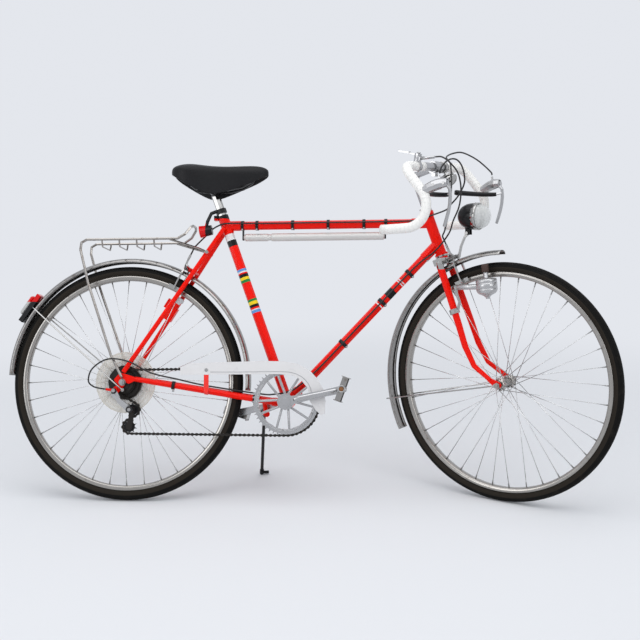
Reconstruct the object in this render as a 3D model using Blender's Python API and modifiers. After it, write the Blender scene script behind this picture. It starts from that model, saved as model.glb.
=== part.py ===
"""Touring bicycle with drop bars, mudguards, carrier and prop stand, standing on its stand.

The pieces are laid out in the upright frame of the bicycle: x forward, y to its left, z up, with the
rear axle above the origin and the front wheel straight ahead. The steering assembly then turns about
the head tube, and the whole bicycle leans onto its prop stand. All lengths are in metres.
"""
import bpy
import bmesh
from math import acos, asin, atan2, ceil, cos, degrees, hypot, pi, radians, sin, sqrt, tan
from mathutils import Matrix, Vector

# Clearances
GAP = 0.0003
RUN = 0.0010

# Wheels
TYRE_RADIUS = 0.345
TYRE_WIDTH = 0.033
TYRE_WALL = 0.0035
RIM_EDGE_RADIUS = 0.317
RIM_BED_RADIUS = 0.3095
RIM_INNER_RADIUS = 0.301
RIM_WIDTH = 0.024
RIM_WALL = 0.0016
RIM_SEAT = 0.311
SPOKES = 36
SPOKE_RADIUS = 0.0010
SPOKE_CROSS = 3
WHEEL_SEGMENTS = 32
WHEELBASE = 1.1085

# Hubs and axles
FRONT_FLANGE_RADIUS = 0.019
FRONT_FLANGE_OFFSET = 0.033
REAR_FLANGE_RADIUS = 0.022
REAR_FLANGE_RIGHT = 0.023
REAR_FLANGE_LEFT = 0.036
HUB_BARREL_RADIUS = 0.010
HUB_BORE_RADIUS = 0.0072
FLANGE_THICKNESS = 0.003
AXLE_RADIUS = 0.0045
FRONT_DROPOUT_FACE = 0.050
REAR_DROPOUT_FACE = 0.060
DROPOUT_THICKNESS = 0.005
AXLE_NUT_RADIUS = 0.0085
AXLE_NUT_HEIGHT = 0.007

# Frame
BOTTOM_BRACKET = (0.476, 0.289)
HEAD_ANGLE = radians(71.3)
FORK_RAKE = 0.055
SEAT_ANGLE = radians(70.4)
TOP_TUBE_HEIGHT = 0.808
TUBE_RADIUS = 0.0127
TUBE_WALL = 0.0012
SEAT_TUBE_TOP = 0.826
HEAD_TUBE_LOW = 0.716
HEAD_TUBE_HIGH = 0.832
HEAD_TUBE_RADIUS = 0.016
HEAD_CUP_RADIUS = 0.0195
HEAD_CUP_HEIGHT = 0.008
LUG_WALL = 0.0018
LUG_LENGTH = 0.034
SEAT_LUG_LENGTH = 0.0235
SHELL_RADIUS = 0.020
SHELL_WIDTH = 0.068
CUP_WIDTH = 0.004
SPINDLE_RADIUS = 0.008
STAY_SPREAD = 0.0628
CHAINSTAY_END = (0.020, 0.357)
CHAINSTAY_START = 0.0195
CHAINSTAY_RADIUS = 0.010
CHAINSTAY_TIP_RADIUS = 0.008
SEATSTAY_FOOT = (-0.004, 0.366)
SEATSTAY_HEAD = (0.289, 0.800)
SEATSTAY_RADIUS = 0.0070
BRIDGE_RADIUS = 0.006

# Fork and steering
STEERER_RADIUS = 0.0127
STEERER_WALL = 0.0012
CROWN_HEIGHT = 0.700
CROWN_DEPTH = 0.030
CROWN_THICKNESS = 0.020
BLADE_SPREAD_TOP = 0.033
BLADE_SPREAD_TIP = 0.0525
BLADE_RADIUS = 0.011
BLADE_TIP_RADIUS = 0.0065
HEADSET_TOP = 0.852
STEER_TURN = radians(28.9)
LEAN = radians(15.0)

# Handlebar and stem
QUILL_RADIUS = 0.011
STEM_TOP = 0.960
BAR_TOP = (0.914, 0.969)
BAR_RADIUS = 0.0127
TAPE_RADIUS = 0.0138
BAR_SLEEVE_HALF = 0.070
BAR_HALF_WIDTH = 0.190
BAR_END_HALF_WIDTH = 0.202
BAR_CORNER = 0.042
HOOK_CENTRE = (0.919, 0.860)
HOOK_RADIUS = 0.062
HOOK_START = radians(33)
BAR_END_X = 0.843
CLAMP_RADIUS = 0.0175
CLAMP_WIDTH = 0.030

# Drive
CHAIN_PITCH = 0.0127
CHAIN_LINE = 0.0435
CHAIN_WIDTH = 0.0062
CHAIN_SLOT = 0.0036
ROLLER_RADIUS = 0.00385
CHAIN_PLATE_HALF = 0.0042
CHAIN_WAIST_HALF = 0.0029
RING_TEETH = 48
SPROCKET_TEETH = (14, 16, 18, 21, 24)
DRIVE_SPROCKET = 2
SPROCKET_SPACING = 0.0050
PULLEY_TEETH = 10
TOOTH_HEIGHT = 0.0033
TOOTH_TIP = 0.0022
PLATE_TEETH = 0.0020
CRANK_LENGTH = 0.170
CRANK_ANGLE = radians(12.0)
CRANK_LINE = 0.062
PEDAL_FACE = 0.070
PEDAL_END = 0.131
PEDAL_SPINDLE_RADIUS = 0.0045
GUIDE_PULLEY = (0.026, 0.266)
CAGE_LENGTH = 0.050
HANGER = (-0.020, 0.321)

# Mudguards
REAR_GUARD_CENTRE = (0.003, 0.349)
REAR_GUARD_RADIUS = 0.365
REAR_GUARD_ARC = (radians(-4.5), radians(177.0))
FRONT_GUARD_RADIUS = 0.378
FRONT_GUARD_ARC = (radians(89.0), radians(203.5))
GUARD_HALF_WIDTH = 0.0215
GUARD_DEPTH = 0.012
GUARD_SHEET = 0.0012
STAY_WIRE_RADIUS = 0.0022

# Carrier, stand and fittings
RACK_HEIGHT = 0.766
RACK_HALF_WIDTH = 0.050
RACK_REAR = -0.120
RACK_FRONT = 0.172
RACK_WIRE = 0.004
RACK_CROSS_WIRE = 0.0025
RACK_CROSS_X = (-0.071, -0.019, 0.033, 0.085)
STAND_PIVOT = (0.402, 0.034, 0.258)
STAND_FOOT_Y = 0.236
STAND_FOOT_X = 0.366
STAND_RADIUS = 0.005
GUARD_PLANE = 0.0518
GUARD_PLATE = 0.0012
SIDES = 8
DRAWN_SCALE = 50.0

for old in list(bpy.data.objects):
    bpy.data.objects.remove(old, do_unlink=True)

PARTS = bpy.data.collections.new("touring_bicycle")
CUTTERS = bpy.data.collections.new("cutters")
for group in (PARTS, CUTTERS):
    bpy.context.scene.collection.children.link(group)


def material(name, colour, metallic, roughness):
    mat = bpy.data.materials.new(name)
    mat.use_nodes = True
    shader = mat.node_tree.nodes["Principled BSDF"]
    shader.inputs["Base Color"].default_value = (*colour, 1.0)
    shader.inputs["Metallic"].default_value = metallic
    shader.inputs["Roughness"].default_value = roughness
    return mat


RED = material("red_enamel", (0.62, 0.025, 0.012), 0.0, 0.25)
CHROME = material("chrome", (0.72, 0.72, 0.70), 1.0, 0.15)
ALLOY = material("alloy", (0.62, 0.62, 0.61), 1.0, 0.35)
STEEL = material("steel", (0.42, 0.41, 0.39), 1.0, 0.4)
BLACK = material("black_plastic", (0.02, 0.02, 0.022), 0.0, 0.45)
VINYL = material("saddle_vinyl", (0.018, 0.018, 0.02), 0.0, 0.5)
RUBBER = material("tyre_rubber", (0.025, 0.025, 0.025), 0.0, 0.8)
TAPE = material("white_tape", (0.80, 0.80, 0.78), 0.0, 0.5)
CREAM = material("off_white_plastic", (0.70, 0.70, 0.66), 0.0, 0.4)
LENS = material("clear_lens", (0.75, 0.76, 0.74), 0.0, 0.1)
RUBY = material("red_lens", (0.45, 0.01, 0.01), 0.0, 0.2)
SMOKE = material("clear_disc", (0.55, 0.56, 0.55), 0.0, 0.3)
HOOD = material("grey_hood", (0.45, 0.45, 0.44), 0.0, 0.5)


def put_mesh(name, mesh, group=None):
    obj = bpy.data.objects.new(name, mesh)
    (group or CUTTERS).objects.link(obj)
    return obj


def settle(obj):
    """Replace a curve or a modified mesh by the welded mesh that it evaluates to."""
    graph = bpy.context.evaluated_depsgraph_get()
    mesh = bpy.data.meshes.new_from_object(obj.evaluated_get(graph))
    bm = bmesh.new()
    bm.from_mesh(mesh)
    bmesh.ops.transform(bm, matrix=obj.matrix_world, verts=bm.verts)
    bmesh.ops.remove_doubles(bm, verts=bm.verts, dist=1e-6)
    bmesh.ops.dissolve_degenerate(bm, edges=bm.edges, dist=1e-6)
    bmesh.ops.recalc_face_normals(bm, faces=bm.faces)
    bm.to_mesh(mesh)
    bm.free()
    name = obj.name
    bpy.data.objects.remove(obj, do_unlink=True)
    return put_mesh(name, mesh)


def from_bmesh(name, bm):
    mesh = bpy.data.meshes.new(name)
    bm.to_mesh(mesh)
    bm.free()
    return put_mesh(name, mesh)


def frame_matrix(origin, across, along):
    """Matrix whose local Z lies along one direction and local X near another."""
    z = Vector(along).normalized()
    x = Vector(across)
    x = (x - z * x.dot(z)).normalized()
    y = z.cross(x)
    m = Matrix((x, y, z)).transposed().to_4x4()
    m.translation = Vector(origin)
    return m


def block(name, low, high, turn=None):
    """Box between two corners, in its own axes if a matrix is given."""
    bm = bmesh.new()
    bmesh.ops.create_cube(bm, size=1.0)
    size = [high[i] - low[i] for i in range(3)]
    middle = [(high[i] + low[i]) / 2 for i in range(3)]
    bmesh.ops.scale(bm, vec=size, verts=bm.verts)
    bmesh.ops.translate(bm, vec=middle, verts=bm.verts)
    if turn:
        bmesh.ops.transform(bm, matrix=turn, verts=bm.verts)
    return from_bmesh(name, bm)


def rod(name, start, end, radius, sides=SIDES, end_radius=None):
    """Cylinder or cone between two points."""
    start, end = Vector(start), Vector(end)
    along = end - start
    bm = bmesh.new()
    bmesh.ops.create_cone(bm, cap_ends=True, segments=sides, radius1=radius,
                          radius2=radius if end_radius is None else end_radius, depth=along.length)
    side = (0, 1, 0) if abs(along.normalized().y) < 0.9 else (1, 0, 0)
    m = frame_matrix((start + end) / 2, side, along)
    bmesh.ops.transform(bm, matrix=m, verts=bm.verts)
    return from_bmesh(name, bm)


def across(name, x, z, y1, y2, radius, sides=SIDES):
    """Cylinder across the bicycle."""
    return rod(name, (x, y1, z), (x, y2, z), radius, sides)


def tube(name, points, radius, sides=8, radii=None, closed=False):
    """Round bar along a line of points."""
    curve = bpy.data.curves.new(name, "CURVE")
    curve.dimensions = "3D"
    curve.bevel_depth = radius
    curve.bevel_resolution = (sides - 4) // 2
    curve.use_fill_caps = True
    spline = curve.splines.new("POLY")
    spline.points.add(len(points) - 1)
    for i, point in enumerate(points):
        spline.points[i].co = (*point, 1.0)
        spline.points[i].radius = radii[i] / radius if radii else 1.0
    spline.use_cyclic_u = closed
    return settle(put_mesh(name, curve))


def smooth_route(points, count, closed=False):
    """Evenly spaced points on a Catmull-Rom curve through the given ones."""
    pts = [Vector(p) for p in points]
    pts = [pts[0] * 2 - pts[1]] + pts + [pts[-1] * 2 - pts[-2]]
    fine = []
    for i in range(1, len(pts) - 2):
        a, b, c, d = pts[i - 1], pts[i], pts[i + 1], pts[i + 2]
        for k in range(24):
            t = k / 24
            fine.append(0.5 * (2 * b + (c - a) * t + (2 * a - 5 * b + 4 * c - d) * t * t
                               + (3 * b - a - 3 * c + d) * t ** 3))
    fine.append(pts[-2])
    lengths = [0.0]
    for i in range(1, len(fine)):
        lengths.append(lengths[-1] + (fine[i] - fine[i - 1]).length)
    route = []
    j = 0
    for i in range(count):
        goal = lengths[-1] * i / (count - 1)
        while j < len(fine) - 2 and lengths[j + 1] < goal:
            j += 1
        span = lengths[j + 1] - lengths[j]
        route.append(fine[j].lerp(fine[j + 1], (goal - lengths[j]) / span if span else 0.0))
    return route


def turned(name, profile, origin, axis, sides=24, closed=True, arc=2 * pi, start=None):
    """Profile of (radius, height) points turned about an axis with a Screw modifier."""
    bm = bmesh.new()
    verts = [bm.verts.new((r, 0.0, h)) for r, h in profile]
    for i in range(len(verts) - (0 if closed else 1)):
        bm.edges.new((verts[i], verts[(i + 1) % len(verts)]))
    obj = from_bmesh(name, bm)
    screw = obj.modifiers.new("turn", "SCREW")
    screw.axis = "Z"
    screw.angle = arc
    screw.steps = sides
    screw.render_steps = sides
    screw.use_merge_vertices = True
    screw.merge_threshold = 1e-6
    obj.matrix_world = frame_matrix(origin, start or ((0, 1, 0) if abs(Vector(axis).normalized().y) < 0.9
                                                      else (1, 0, 0)), axis)
    return obj


def bore(radius, sides):
    """Radius of a many-sided hole that clears a round pin of the given radius."""
    return (radius + GAP) / cos(pi / sides)


def snug(radius, sides):
    return radius + GAP / cos(pi / sides)


def ring(name, inner, outer, y1, y2, x, z, sides=24):
    """Flat ring or sleeve about an axis across the bicycle."""
    profile = [(outer, y2), (outer, y1), (inner, y1), (inner, y2)]
    return settle(turned(name, profile, (x, 0, z), (0, 1, 0), sides))


def lathe(name, profile, x, z, sides=24):
    """Closed profile of (radius, y) points turned about an axis across the bicycle."""
    return settle(turned(name, profile, (x, 0, z), (0, 1, 0), sides))


def plate(name, outlines, y1, y2, turn=None):
    """Flat plate of (x, z) outlines, the later ones being holes, between two values of y.

    The outline is drawn larger and scaled back, because the fill is too coarse for millimetres.
    """
    curve = bpy.data.curves.new(name, "CURVE")
    curve.dimensions = "2D"
    curve.fill_mode = "BOTH"
    curve.extrude = DRAWN_SCALE * abs(y2 - y1) / 2
    for outline in outlines:
        spline = curve.splines.new("POLY")
        spline.points.add(len(outline) - 1)
        for i, (px, pz) in enumerate(outline):
            spline.points[i].co = (DRAWN_SCALE * px, DRAWN_SCALE * pz, 0.0, 1.0)
        spline.use_cyclic_u = True
    obj = put_mesh(name, curve)
    stand = Matrix.Translation((0, (y1 + y2) / 2, 0)) @ Matrix.Rotation(pi / 2, 4, "X") @ Matrix.Scale(1 / DRAWN_SCALE, 4)
    obj.matrix_world = (turn @ stand) if turn else stand
    bpy.context.view_layer.update()
    return settle(obj)


def strip(points, widths):
    """Outline of a flat bar with round ends that follows a line of points."""
    if not isinstance(widths, (list, tuple)):
        widths = [widths] * len(points)
    pts = [Vector(p) for p in points]
    left, right = [], []
    for i, p in enumerate(pts):
        d = (pts[min(i + 1, len(pts) - 1)] - pts[max(i - 1, 0)]).normalized()
        n = Vector((-d.y, d.x))
        left.append(p + n * widths[i] / 2)
        right.append(p - n * widths[i] / 2)
    d0 = (pts[1] - pts[0]).normalized()
    d1 = (pts[-1] - pts[-2]).normalized()
    start = [pts[0] + widths[0] / 2 * (-d0 * cos(a) - Vector((-d0.y, d0.x)) * sin(a)) for a in (-pi / 4, 0, pi / 4)]
    end = [pts[-1] + widths[-1] / 2 * (d1 * cos(a) + Vector((-d1.y, d1.x)) * sin(a)) for a in (pi / 4, 0, -pi / 4)]
    outline = [start[1], start[0]] + left + end + right[::-1] + [start[2]]
    return [(p.x, p.y) for p in outline]


def circle(x, z, radius, sides=SIDES, turn=0.0):
    return [(x + radius * cos(turn + 2 * pi * k / sides), z + radius * sin(turn + 2 * pi * k / sides))
            for k in range(sides)]


def boolean(base, others, operation):
    """Join or cut with exact Booleans, one operand after another."""
    for other in others:
        change = base.modifiers.new(operation.lower(), "BOOLEAN")
        change.operation = operation
        change.solver = "EXACT"
        change.object = other
    bpy.context.view_layer.update()
    made = settle(base)
    for other in others:
        bpy.data.objects.remove(other, do_unlink=True)
    return made


def joined(base, *others):
    return boolean(settle(base), [settle(o) for o in others], "UNION")


def cut(base, *others):
    return boolean(settle(base), [settle(o) for o in others], "DIFFERENCE")


def finish(name, obj, mat, axis=None, smooth=46):
    """Name a finished piece, colour it and hang it on the empty that carries it."""
    obj = settle(obj)
    mesh = obj.data
    bpy.data.objects.remove(obj, do_unlink=True)
    mesh.name = name
    mesh.materials.clear()
    mesh.materials.append(mat)
    mesh.shade_smooth()
    mesh.set_sharp_from_angle(angle=radians(smooth))
    part = put_mesh(name, mesh, PARTS)
    axis = axis or FRAME
    bpy.context.view_layer.update()
    mesh.transform(axis.matrix_world.inverted())
    part.parent = axis
    return part


def axis_empty(name, point, direction, parent=None, side=(1, 0, 0)):
    """Empty whose Z lies along a joint's axis."""
    empty = bpy.data.objects.new(name, None)
    PARTS.objects.link(empty)
    m = frame_matrix(point, side, direction)
    if parent:
        bpy.context.view_layer.update()
        empty.parent = parent
        empty.matrix_parent_inverse = parent.matrix_world.inverted()
    empty.matrix_world = m
    bpy.context.view_layer.update()
    return empty


# Main lines of the frame
SEAT_DIR = Vector((-cos(SEAT_ANGLE), 0, sin(SEAT_ANGLE)))
STEER_UP = Vector((-cos(HEAD_ANGLE), 0, sin(HEAD_ANGLE)))
STEER_FORE = Vector((sin(HEAD_ANGLE), 0, cos(HEAD_ANGLE)))
REAR_HUB = Vector((0, 0, TYRE_RADIUS))
FRONT_HUB = Vector((WHEELBASE, 0, TYRE_RADIUS))
BB = Vector((BOTTOM_BRACKET[0], 0, BOTTOM_BRACKET[1]))
STEER_FOOT = FRONT_HUB - STEER_FORE * FORK_RAKE


def on_steer(height, fore=0.0, side=0.0):
    """Point at a height on the steering axis, moved forward square to it and sideways."""
    s = (height - STEER_FOOT.z) / STEER_UP.z
    return STEER_FOOT + STEER_UP * s + STEER_FORE * fore + Vector((0, side, 0))


def steer_point(s, fore, side=0.0):
    """Point by its distance up the steering axis, forward of it and sideways."""
    return STEER_FOOT + STEER_UP * s + STEER_FORE * fore + Vector((0, side, 0))


def on_seat(height):
    return BB + SEAT_DIR * ((height - BB.z) / SEAT_DIR.z)


def ang(deg, r, centre):
    return (centre[0] + r * cos(radians(deg)), centre[1] + r * sin(radians(deg)))


STANCE = bpy.data.objects.new("stance", None)
PARTS.objects.link(STANCE)
FRAME = axis_empty("frame", (0, 0, 0), (0, 0, 1), STANCE)
STEERING = axis_empty("steering_axis", STEER_FOOT, STEER_UP, STANCE)
CRANK_AXIS = axis_empty("crank_axis", BB, (0, 1, 0), FRAME)
REAR_AXIS = axis_empty("rear_wheel_axis", REAR_HUB, (0, 1, 0), FRAME)
FREEWHEEL_AXIS = axis_empty("freewheel_axis", REAR_HUB, (0, 1, 0), FRAME)
FRONT_AXIS = axis_empty("front_wheel_axis", FRONT_HUB, (0, 1, 0), STEERING)


def hull(points):
    """Convex outline round a set of points."""
    pts = sorted(set((round(x, 7), round(z, 7)) for x, z in points))

    def half(seq):
        out = []
        for p in seq:
            while len(out) > 1 and ((out[-1][0] - out[-2][0]) * (p[1] - out[-2][1])
                                    - (out[-1][1] - out[-2][1]) * (p[0] - out[-2][0])) <= 1e-12:
                out.pop()
            out.append(p)
        return out[:-1]
    return half(pts) + half(pts[::-1])


def sleeve_reach(a, b, bore, radius):
    """How far along b a socket of this radius starts so that it clears a bore along a."""
    cosine = abs(a.dot(b))
    return (bore + LUG_WALL + radius * cosine) / sqrt(1 - cosine * cosine)


# Head tube, with its lugs and the cups of the headset
HEAD_BORE = STEERER_RADIUS + 0.0012
DOWN_HEAD = on_steer(HEAD_TUBE_LOW + 0.0312)
TOP_HEAD = on_steer(TOP_TUBE_HEIGHT)
TOP_SEAT = on_seat(TOP_TUBE_HEIGHT)
TOP_DIR = (TOP_SEAT - TOP_HEAD).normalized()
DOWN_DIR = (BB - DOWN_HEAD).normalized()
SOCKET_RADIUS = TUBE_RADIUS + GAP
LUG_RADIUS = SOCKET_RADIUS + LUG_WALL
TOP_REACH = sleeve_reach(STEER_UP, TOP_DIR, HEAD_BORE, SOCKET_RADIUS)
DOWN_REACH = sleeve_reach(STEER_UP, DOWN_DIR, HEAD_BORE, SOCKET_RADIUS)
head = joined(
    rod("h", on_steer(HEAD_TUBE_LOW), on_steer(HEAD_TUBE_HIGH), HEAD_TUBE_RADIUS, 12),
    rod("h", on_steer(HEAD_TUBE_LOW - HEAD_CUP_HEIGHT), on_steer(HEAD_TUBE_LOW + 0.002), HEAD_CUP_RADIUS, 12),
    rod("h", on_steer(HEAD_TUBE_HIGH - 0.002), on_steer(HEAD_TUBE_HIGH + HEAD_CUP_HEIGHT), HEAD_CUP_RADIUS, 12),
    rod("h", TOP_HEAD, TOP_HEAD + TOP_DIR * (TOP_REACH + LUG_LENGTH), LUG_RADIUS),
    rod("h", DOWN_HEAD, DOWN_HEAD + DOWN_DIR * (DOWN_REACH + LUG_LENGTH), LUG_RADIUS))
head = cut(
    head,
    rod("h", on_steer(HEAD_TUBE_LOW - 0.03), on_steer(HEAD_TUBE_HIGH + 0.03), bore(STEERER_RADIUS, 12), 12),
    rod("h", TOP_HEAD + TOP_DIR * TOP_REACH, TOP_HEAD + TOP_DIR * 0.2, SOCKET_RADIUS),
    rod("h", DOWN_HEAD + DOWN_DIR * DOWN_REACH, DOWN_HEAD + DOWN_DIR * 0.2, SOCKET_RADIUS))
finish("head_tube", head, RED)

# Seat tube with the bottom bracket shell, the seat lug and its clamp, and the sockets of the other tubes
SEAT_TUBE_RADIUS = 0.0143
POST_RADIUS = 0.0125
SEAT_BORE = POST_RADIUS + GAP
SEAT_LUG_RADIUS = SEAT_TUBE_RADIUS + LUG_WALL
SHELL_BORE = SPINDLE_RADIUS + GAP
SEAT_REACH = sleeve_reach(SEAT_DIR, TOP_DIR, SEAT_BORE, SOCKET_RADIUS)
BB_REACH = SHELL_BORE + 0.004
BB_LUG = SHELL_RADIUS + LUG_LENGTH * 0.8
STAY_Y0 = CHAINSTAY_START + 0.0012
CHAINSTAY_LOW = Vector((BB.x - SHELL_RADIUS + 0.003, STAY_Y0, BB.z - 0.004))
CHAINSTAY_HIGH = Vector((0.036, STAY_SPREAD - 0.0012, 0.3545))


def mirror_y(point):
    return Vector((point[0], -point[1], point[2]))


def chainstay(side, swell=0.0):
    low, high = (CHAINSTAY_LOW, CHAINSTAY_HIGH) if side > 0 else (mirror_y(CHAINSTAY_LOW), mirror_y(CHAINSTAY_HIGH))
    line = [low.lerp(high, t) for t in (0.0, 0.12, 0.5, 0.88, 1.0)]
    sizes = [CHAINSTAY_RADIUS, CHAINSTAY_RADIUS, CHAINSTAY_RADIUS - 0.0008, CHAINSTAY_TIP_RADIUS, CHAINSTAY_TIP_RADIUS - 0.001]
    return tube("stay", line, CHAINSTAY_RADIUS, 8, [s + swell for s in sizes])


def stay_sleeve(side):
    low = CHAINSTAY_LOW if side > 0 else mirror_y(CHAINSTAY_LOW)
    high = CHAINSTAY_HIGH if side > 0 else mirror_y(CHAINSTAY_HIGH)
    d = (high - low).normalized()
    return rod("s", low - d * 0.004, low + d * 0.026, CHAINSTAY_RADIUS + GAP + LUG_WALL)


SEAT_TOP = on_seat(SEAT_TUBE_TOP)
CLAMP_TOP = on_seat(SEAT_TUBE_TOP + 0.012)
binder = on_seat(SEAT_TUBE_TOP + 0.005)
seat_tube = joined(
    rod("s", BB, SEAT_TOP, SEAT_TUBE_RADIUS),
    rod("s", on_seat(TOP_TUBE_HEIGHT - 0.024), CLAMP_TOP, SEAT_LUG_RADIUS),
    across("s", BB.x, BB.z, -SHELL_WIDTH / 2, SHELL_WIDTH / 2, SHELL_RADIUS, 12),
    rod("s", TOP_SEAT, TOP_SEAT - TOP_DIR * (SEAT_REACH + SEAT_LUG_LENGTH), LUG_RADIUS),
    rod("s", BB, BB - DOWN_DIR * BB_LUG, LUG_RADIUS),
    stay_sleeve(1), stay_sleeve(-1),
    block("s", (binder.x - SEAT_LUG_RADIUS - 0.011, -0.009, binder.z - 0.007),
          (binder.x - SEAT_BORE - 0.002, 0.009, binder.z + 0.007)),
    across("s", binder.x - SEAT_LUG_RADIUS - 0.005, binder.z, -0.014, 0.014, 0.0045, 8))
seat_tube = cut(
    seat_tube,
    rod("s", BB + SEAT_DIR * 0.05, on_seat(SEAT_TUBE_TOP + 0.1), SEAT_BORE),
    rod("s", TOP_SEAT - TOP_DIR * SEAT_REACH, TOP_SEAT - TOP_DIR * 0.2, SOCKET_RADIUS),
    rod("s", BB - DOWN_DIR * BB_REACH, BB - DOWN_DIR * 0.2, SOCKET_RADIUS),
    chainstay(1, GAP), chainstay(-1, GAP),
    across("s", BB.x, BB.z, -0.1, 0.1, bore(SPINDLE_RADIUS, 12), 12))
finish("seat_tube", seat_tube, RED)


def band(name, start, direction, distance, width, radius, sides=SIDES):
    """Clip band round a straight tube."""
    a = Vector(start) + Vector(direction) * (distance - width / 2)
    return rod(name, a, a + Vector(direction) * width, radius, sides)


# Top tube, with its cable bands and the two hangers of the pump
CLIP_RADIUS = TUBE_RADIUS + 0.0012
PUMP_RADIUS = 0.0118
PUMP_HEIGHT = 0.7725
PUMP_REAR = 0.345
PUMP_FRONT = 0.760
TOP_CLIPS = (0.384, 0.490, 0.595, 0.700)
top_parts = []
for x in TOP_CLIPS:
    top_parts.append(band("t", TOP_HEAD, TOP_DIR, TOP_HEAD.x - x, 0.008, CLIP_RADIUS))
for x, sign in ((PUMP_REAR, -1), (PUMP_FRONT, 1)):
    face = x + sign * GAP
    top_parts.append(band("t", TOP_HEAD, TOP_DIR, TOP_HEAD.x - x - sign * 0.004, 0.010, CLIP_RADIUS))
    low = (min(face, face + sign * 0.004), -0.006, PUMP_HEIGHT - 0.008)
    high = (max(face, face + sign * 0.004), 0.006, TOP_TUBE_HEIGHT - TUBE_RADIUS * 0.8)
    top_parts.append(block("t", low, high))
top_tube = joined(
    rod("t", TOP_HEAD + TOP_DIR * (TOP_REACH + GAP), TOP_SEAT - TOP_DIR * (SEAT_REACH + GAP), TUBE_RADIUS),
    *top_parts)
finish("top_tube", top_tube, RED)

pump_profile = [(0.0, PUMP_FRONT), (PUMP_RADIUS - 0.003, PUMP_FRONT), (PUMP_RADIUS, PUMP_FRONT - 0.004),
                (PUMP_RADIUS, PUMP_REAR + 0.083), (PUMP_RADIUS - 0.0025, PUMP_REAR + 0.080),
                (PUMP_RADIUS - 0.0025, PUMP_REAR + 0.074), (PUMP_RADIUS - 0.0005, PUMP_REAR + 0.070),
                (PUMP_RADIUS - 0.0005, PUMP_REAR + 0.006), (PUMP_RADIUS - 0.004, PUMP_REAR), (0.0, PUMP_REAR)]
pump = turned("pump", pump_profile, (0, 0, PUMP_HEIGHT), (1, 0, 0), 16, closed=False)
finish("pump", pump, ALLOY)

# Down tube with its cable bands
DOWN_CLIPS = (0.120, 0.235, 0.400)
down_parts = [band("d", DOWN_HEAD, DOWN_DIR, x, 0.010, CLIP_RADIUS) for x in DOWN_CLIPS]
down_tube = joined(
    rod("d", DOWN_HEAD + DOWN_DIR * (DOWN_REACH + GAP), BB - DOWN_DIR * (BB_REACH + GAP), TUBE_RADIUS),
    *down_parts)
finish("down_tube", down_tube, RED)

# Chainstays with their dropouts
DROP_IN = REAR_DROPOUT_FACE + GAP
DROP_OUT = DROP_IN + DROPOUT_THICKNESS
EYELET = (-0.019, 0.352)
STAY_FOOT = Vector((SEATSTAY_FOOT[0], STAY_SPREAD, SEATSTAY_FOOT[1]))
STAY_HEAD = Vector((SEATSTAY_HEAD[0], SEAT_TUBE_RADIUS + 0.0037, SEATSTAY_HEAD[1]))
BRIDGE_X = 0.358
STAND_X = STAND_PIVOT[0]


def stay_at(x):
    """Centre of the left chainstay at a distance forward."""
    return CHAINSTAY_LOW.lerp(CHAINSTAY_HIGH, (CHAINSTAY_LOW.x - x) / (CHAINSTAY_LOW.x - CHAINSTAY_HIGH.x))


def dropout(side):
    outline = hull(circle(0, TYRE_RADIUS, 0.0125) + circle(CHAINSTAY_HIGH.x - 0.002, CHAINSTAY_HIGH.z, 0.0065)
                   + circle(STAY_FOOT.x, STAY_FOOT.z, SEATSTAY_RADIUS) + circle(*EYELET, 0.0055))
    y1, y2 = (DROP_IN, DROP_OUT) if side > 0 else (-DROP_OUT, -DROP_IN)
    body = plate("p", [outline], y1, y2)
    if side < 0:
        hanger = hull(circle(0, TYRE_RADIUS - 0.004, 0.008) + circle(*HANGER, 0.0100))
        body = joined(body, plate("p", [hanger], y1, y2))
    slot = Matrix.Translation(REAR_HUB) @ Matrix.Rotation(radians(28), 4, "Y")
    half = AXLE_RADIUS + GAP
    return cut(body, across("p", 0, TYRE_RADIUS, y1 - 0.01, y2 + 0.01, half, 10),
               block("p", (0, y1 - 0.01, -half * 0.98), (0.04, y2 + 0.01, half * 0.98), slot))


LEFT_BRIDGE = stay_at(BRIDGE_X)
bridge_end = LEFT_BRIDGE.y - CHAINSTAY_RADIUS - 2 * GAP
hang_x, hang_z = HANGER
KNUCKLE = 0.0085
KNUCKLE_END = -DROP_OUT - 0.0125
CABLE_STOP = Vector((hang_x - 0.026, KNUCKLE_END + 0.006, hang_z + 0.004))
right_stay = joined(
    chainstay(-1), dropout(-1), across("b", BRIDGE_X, LEFT_BRIDGE.z, -LEFT_BRIDGE.y, bridge_end, BRIDGE_RADIUS),
    across("b", hang_x, hang_z, -DROP_IN - 0.002, KNUCKLE_END, KNUCKLE),
    rod("b", (hang_x, KNUCKLE_END + 0.006, hang_z), CABLE_STOP, 0.0038, 8))
finish("right_chainstay", right_stay, RED)

# Prop stand: the pivot is set at an angle, so that the leg swings out and down, and back along the stay
PIVOT = Vector(STAND_PIVOT)
FOLDED = Vector((-0.990, 0.075, 0.115)).normalized()
stand_aim = Vector((STAND_FOOT_X, STAND_FOOT_Y, 0.066))
LEG_DIR = (stand_aim - PIVOT).normalized()
STAND_AXIS = (LEG_DIR.cross(FOLDED).normalized() * cos(radians(45))
              + (LEG_DIR + FOLDED).normalized() * sin(radians(45))).normalized()
stay_over = stay_at(STAND_X)
boss_far = PIVOT - STAND_AXIS * 0.026
strut_foot = PIVOT - STAND_AXIS * 0.019
left_stay = joined(
    chainstay(1), dropout(1),
    rod("k", PIVOT - STAND_AXIS * (0.007 + GAP), boss_far, 0.009),
    rod("k", strut_foot, stay_over, 0.0065, 8),
    rod("k", boss_far, PIVOT + STAND_AXIS * 0.012, 0.004, 8),
    rod("k", PIVOT + STAND_AXIS * (0.0100 + GAP), PIVOT + STAND_AXIS * 0.0130, 0.0060, 8))
finish("left_chainstay", left_stay, RED)
STAND_AXIS_EMPTY = axis_empty("stand_axis", PIVOT, STAND_AXIS, FRAME)

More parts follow.
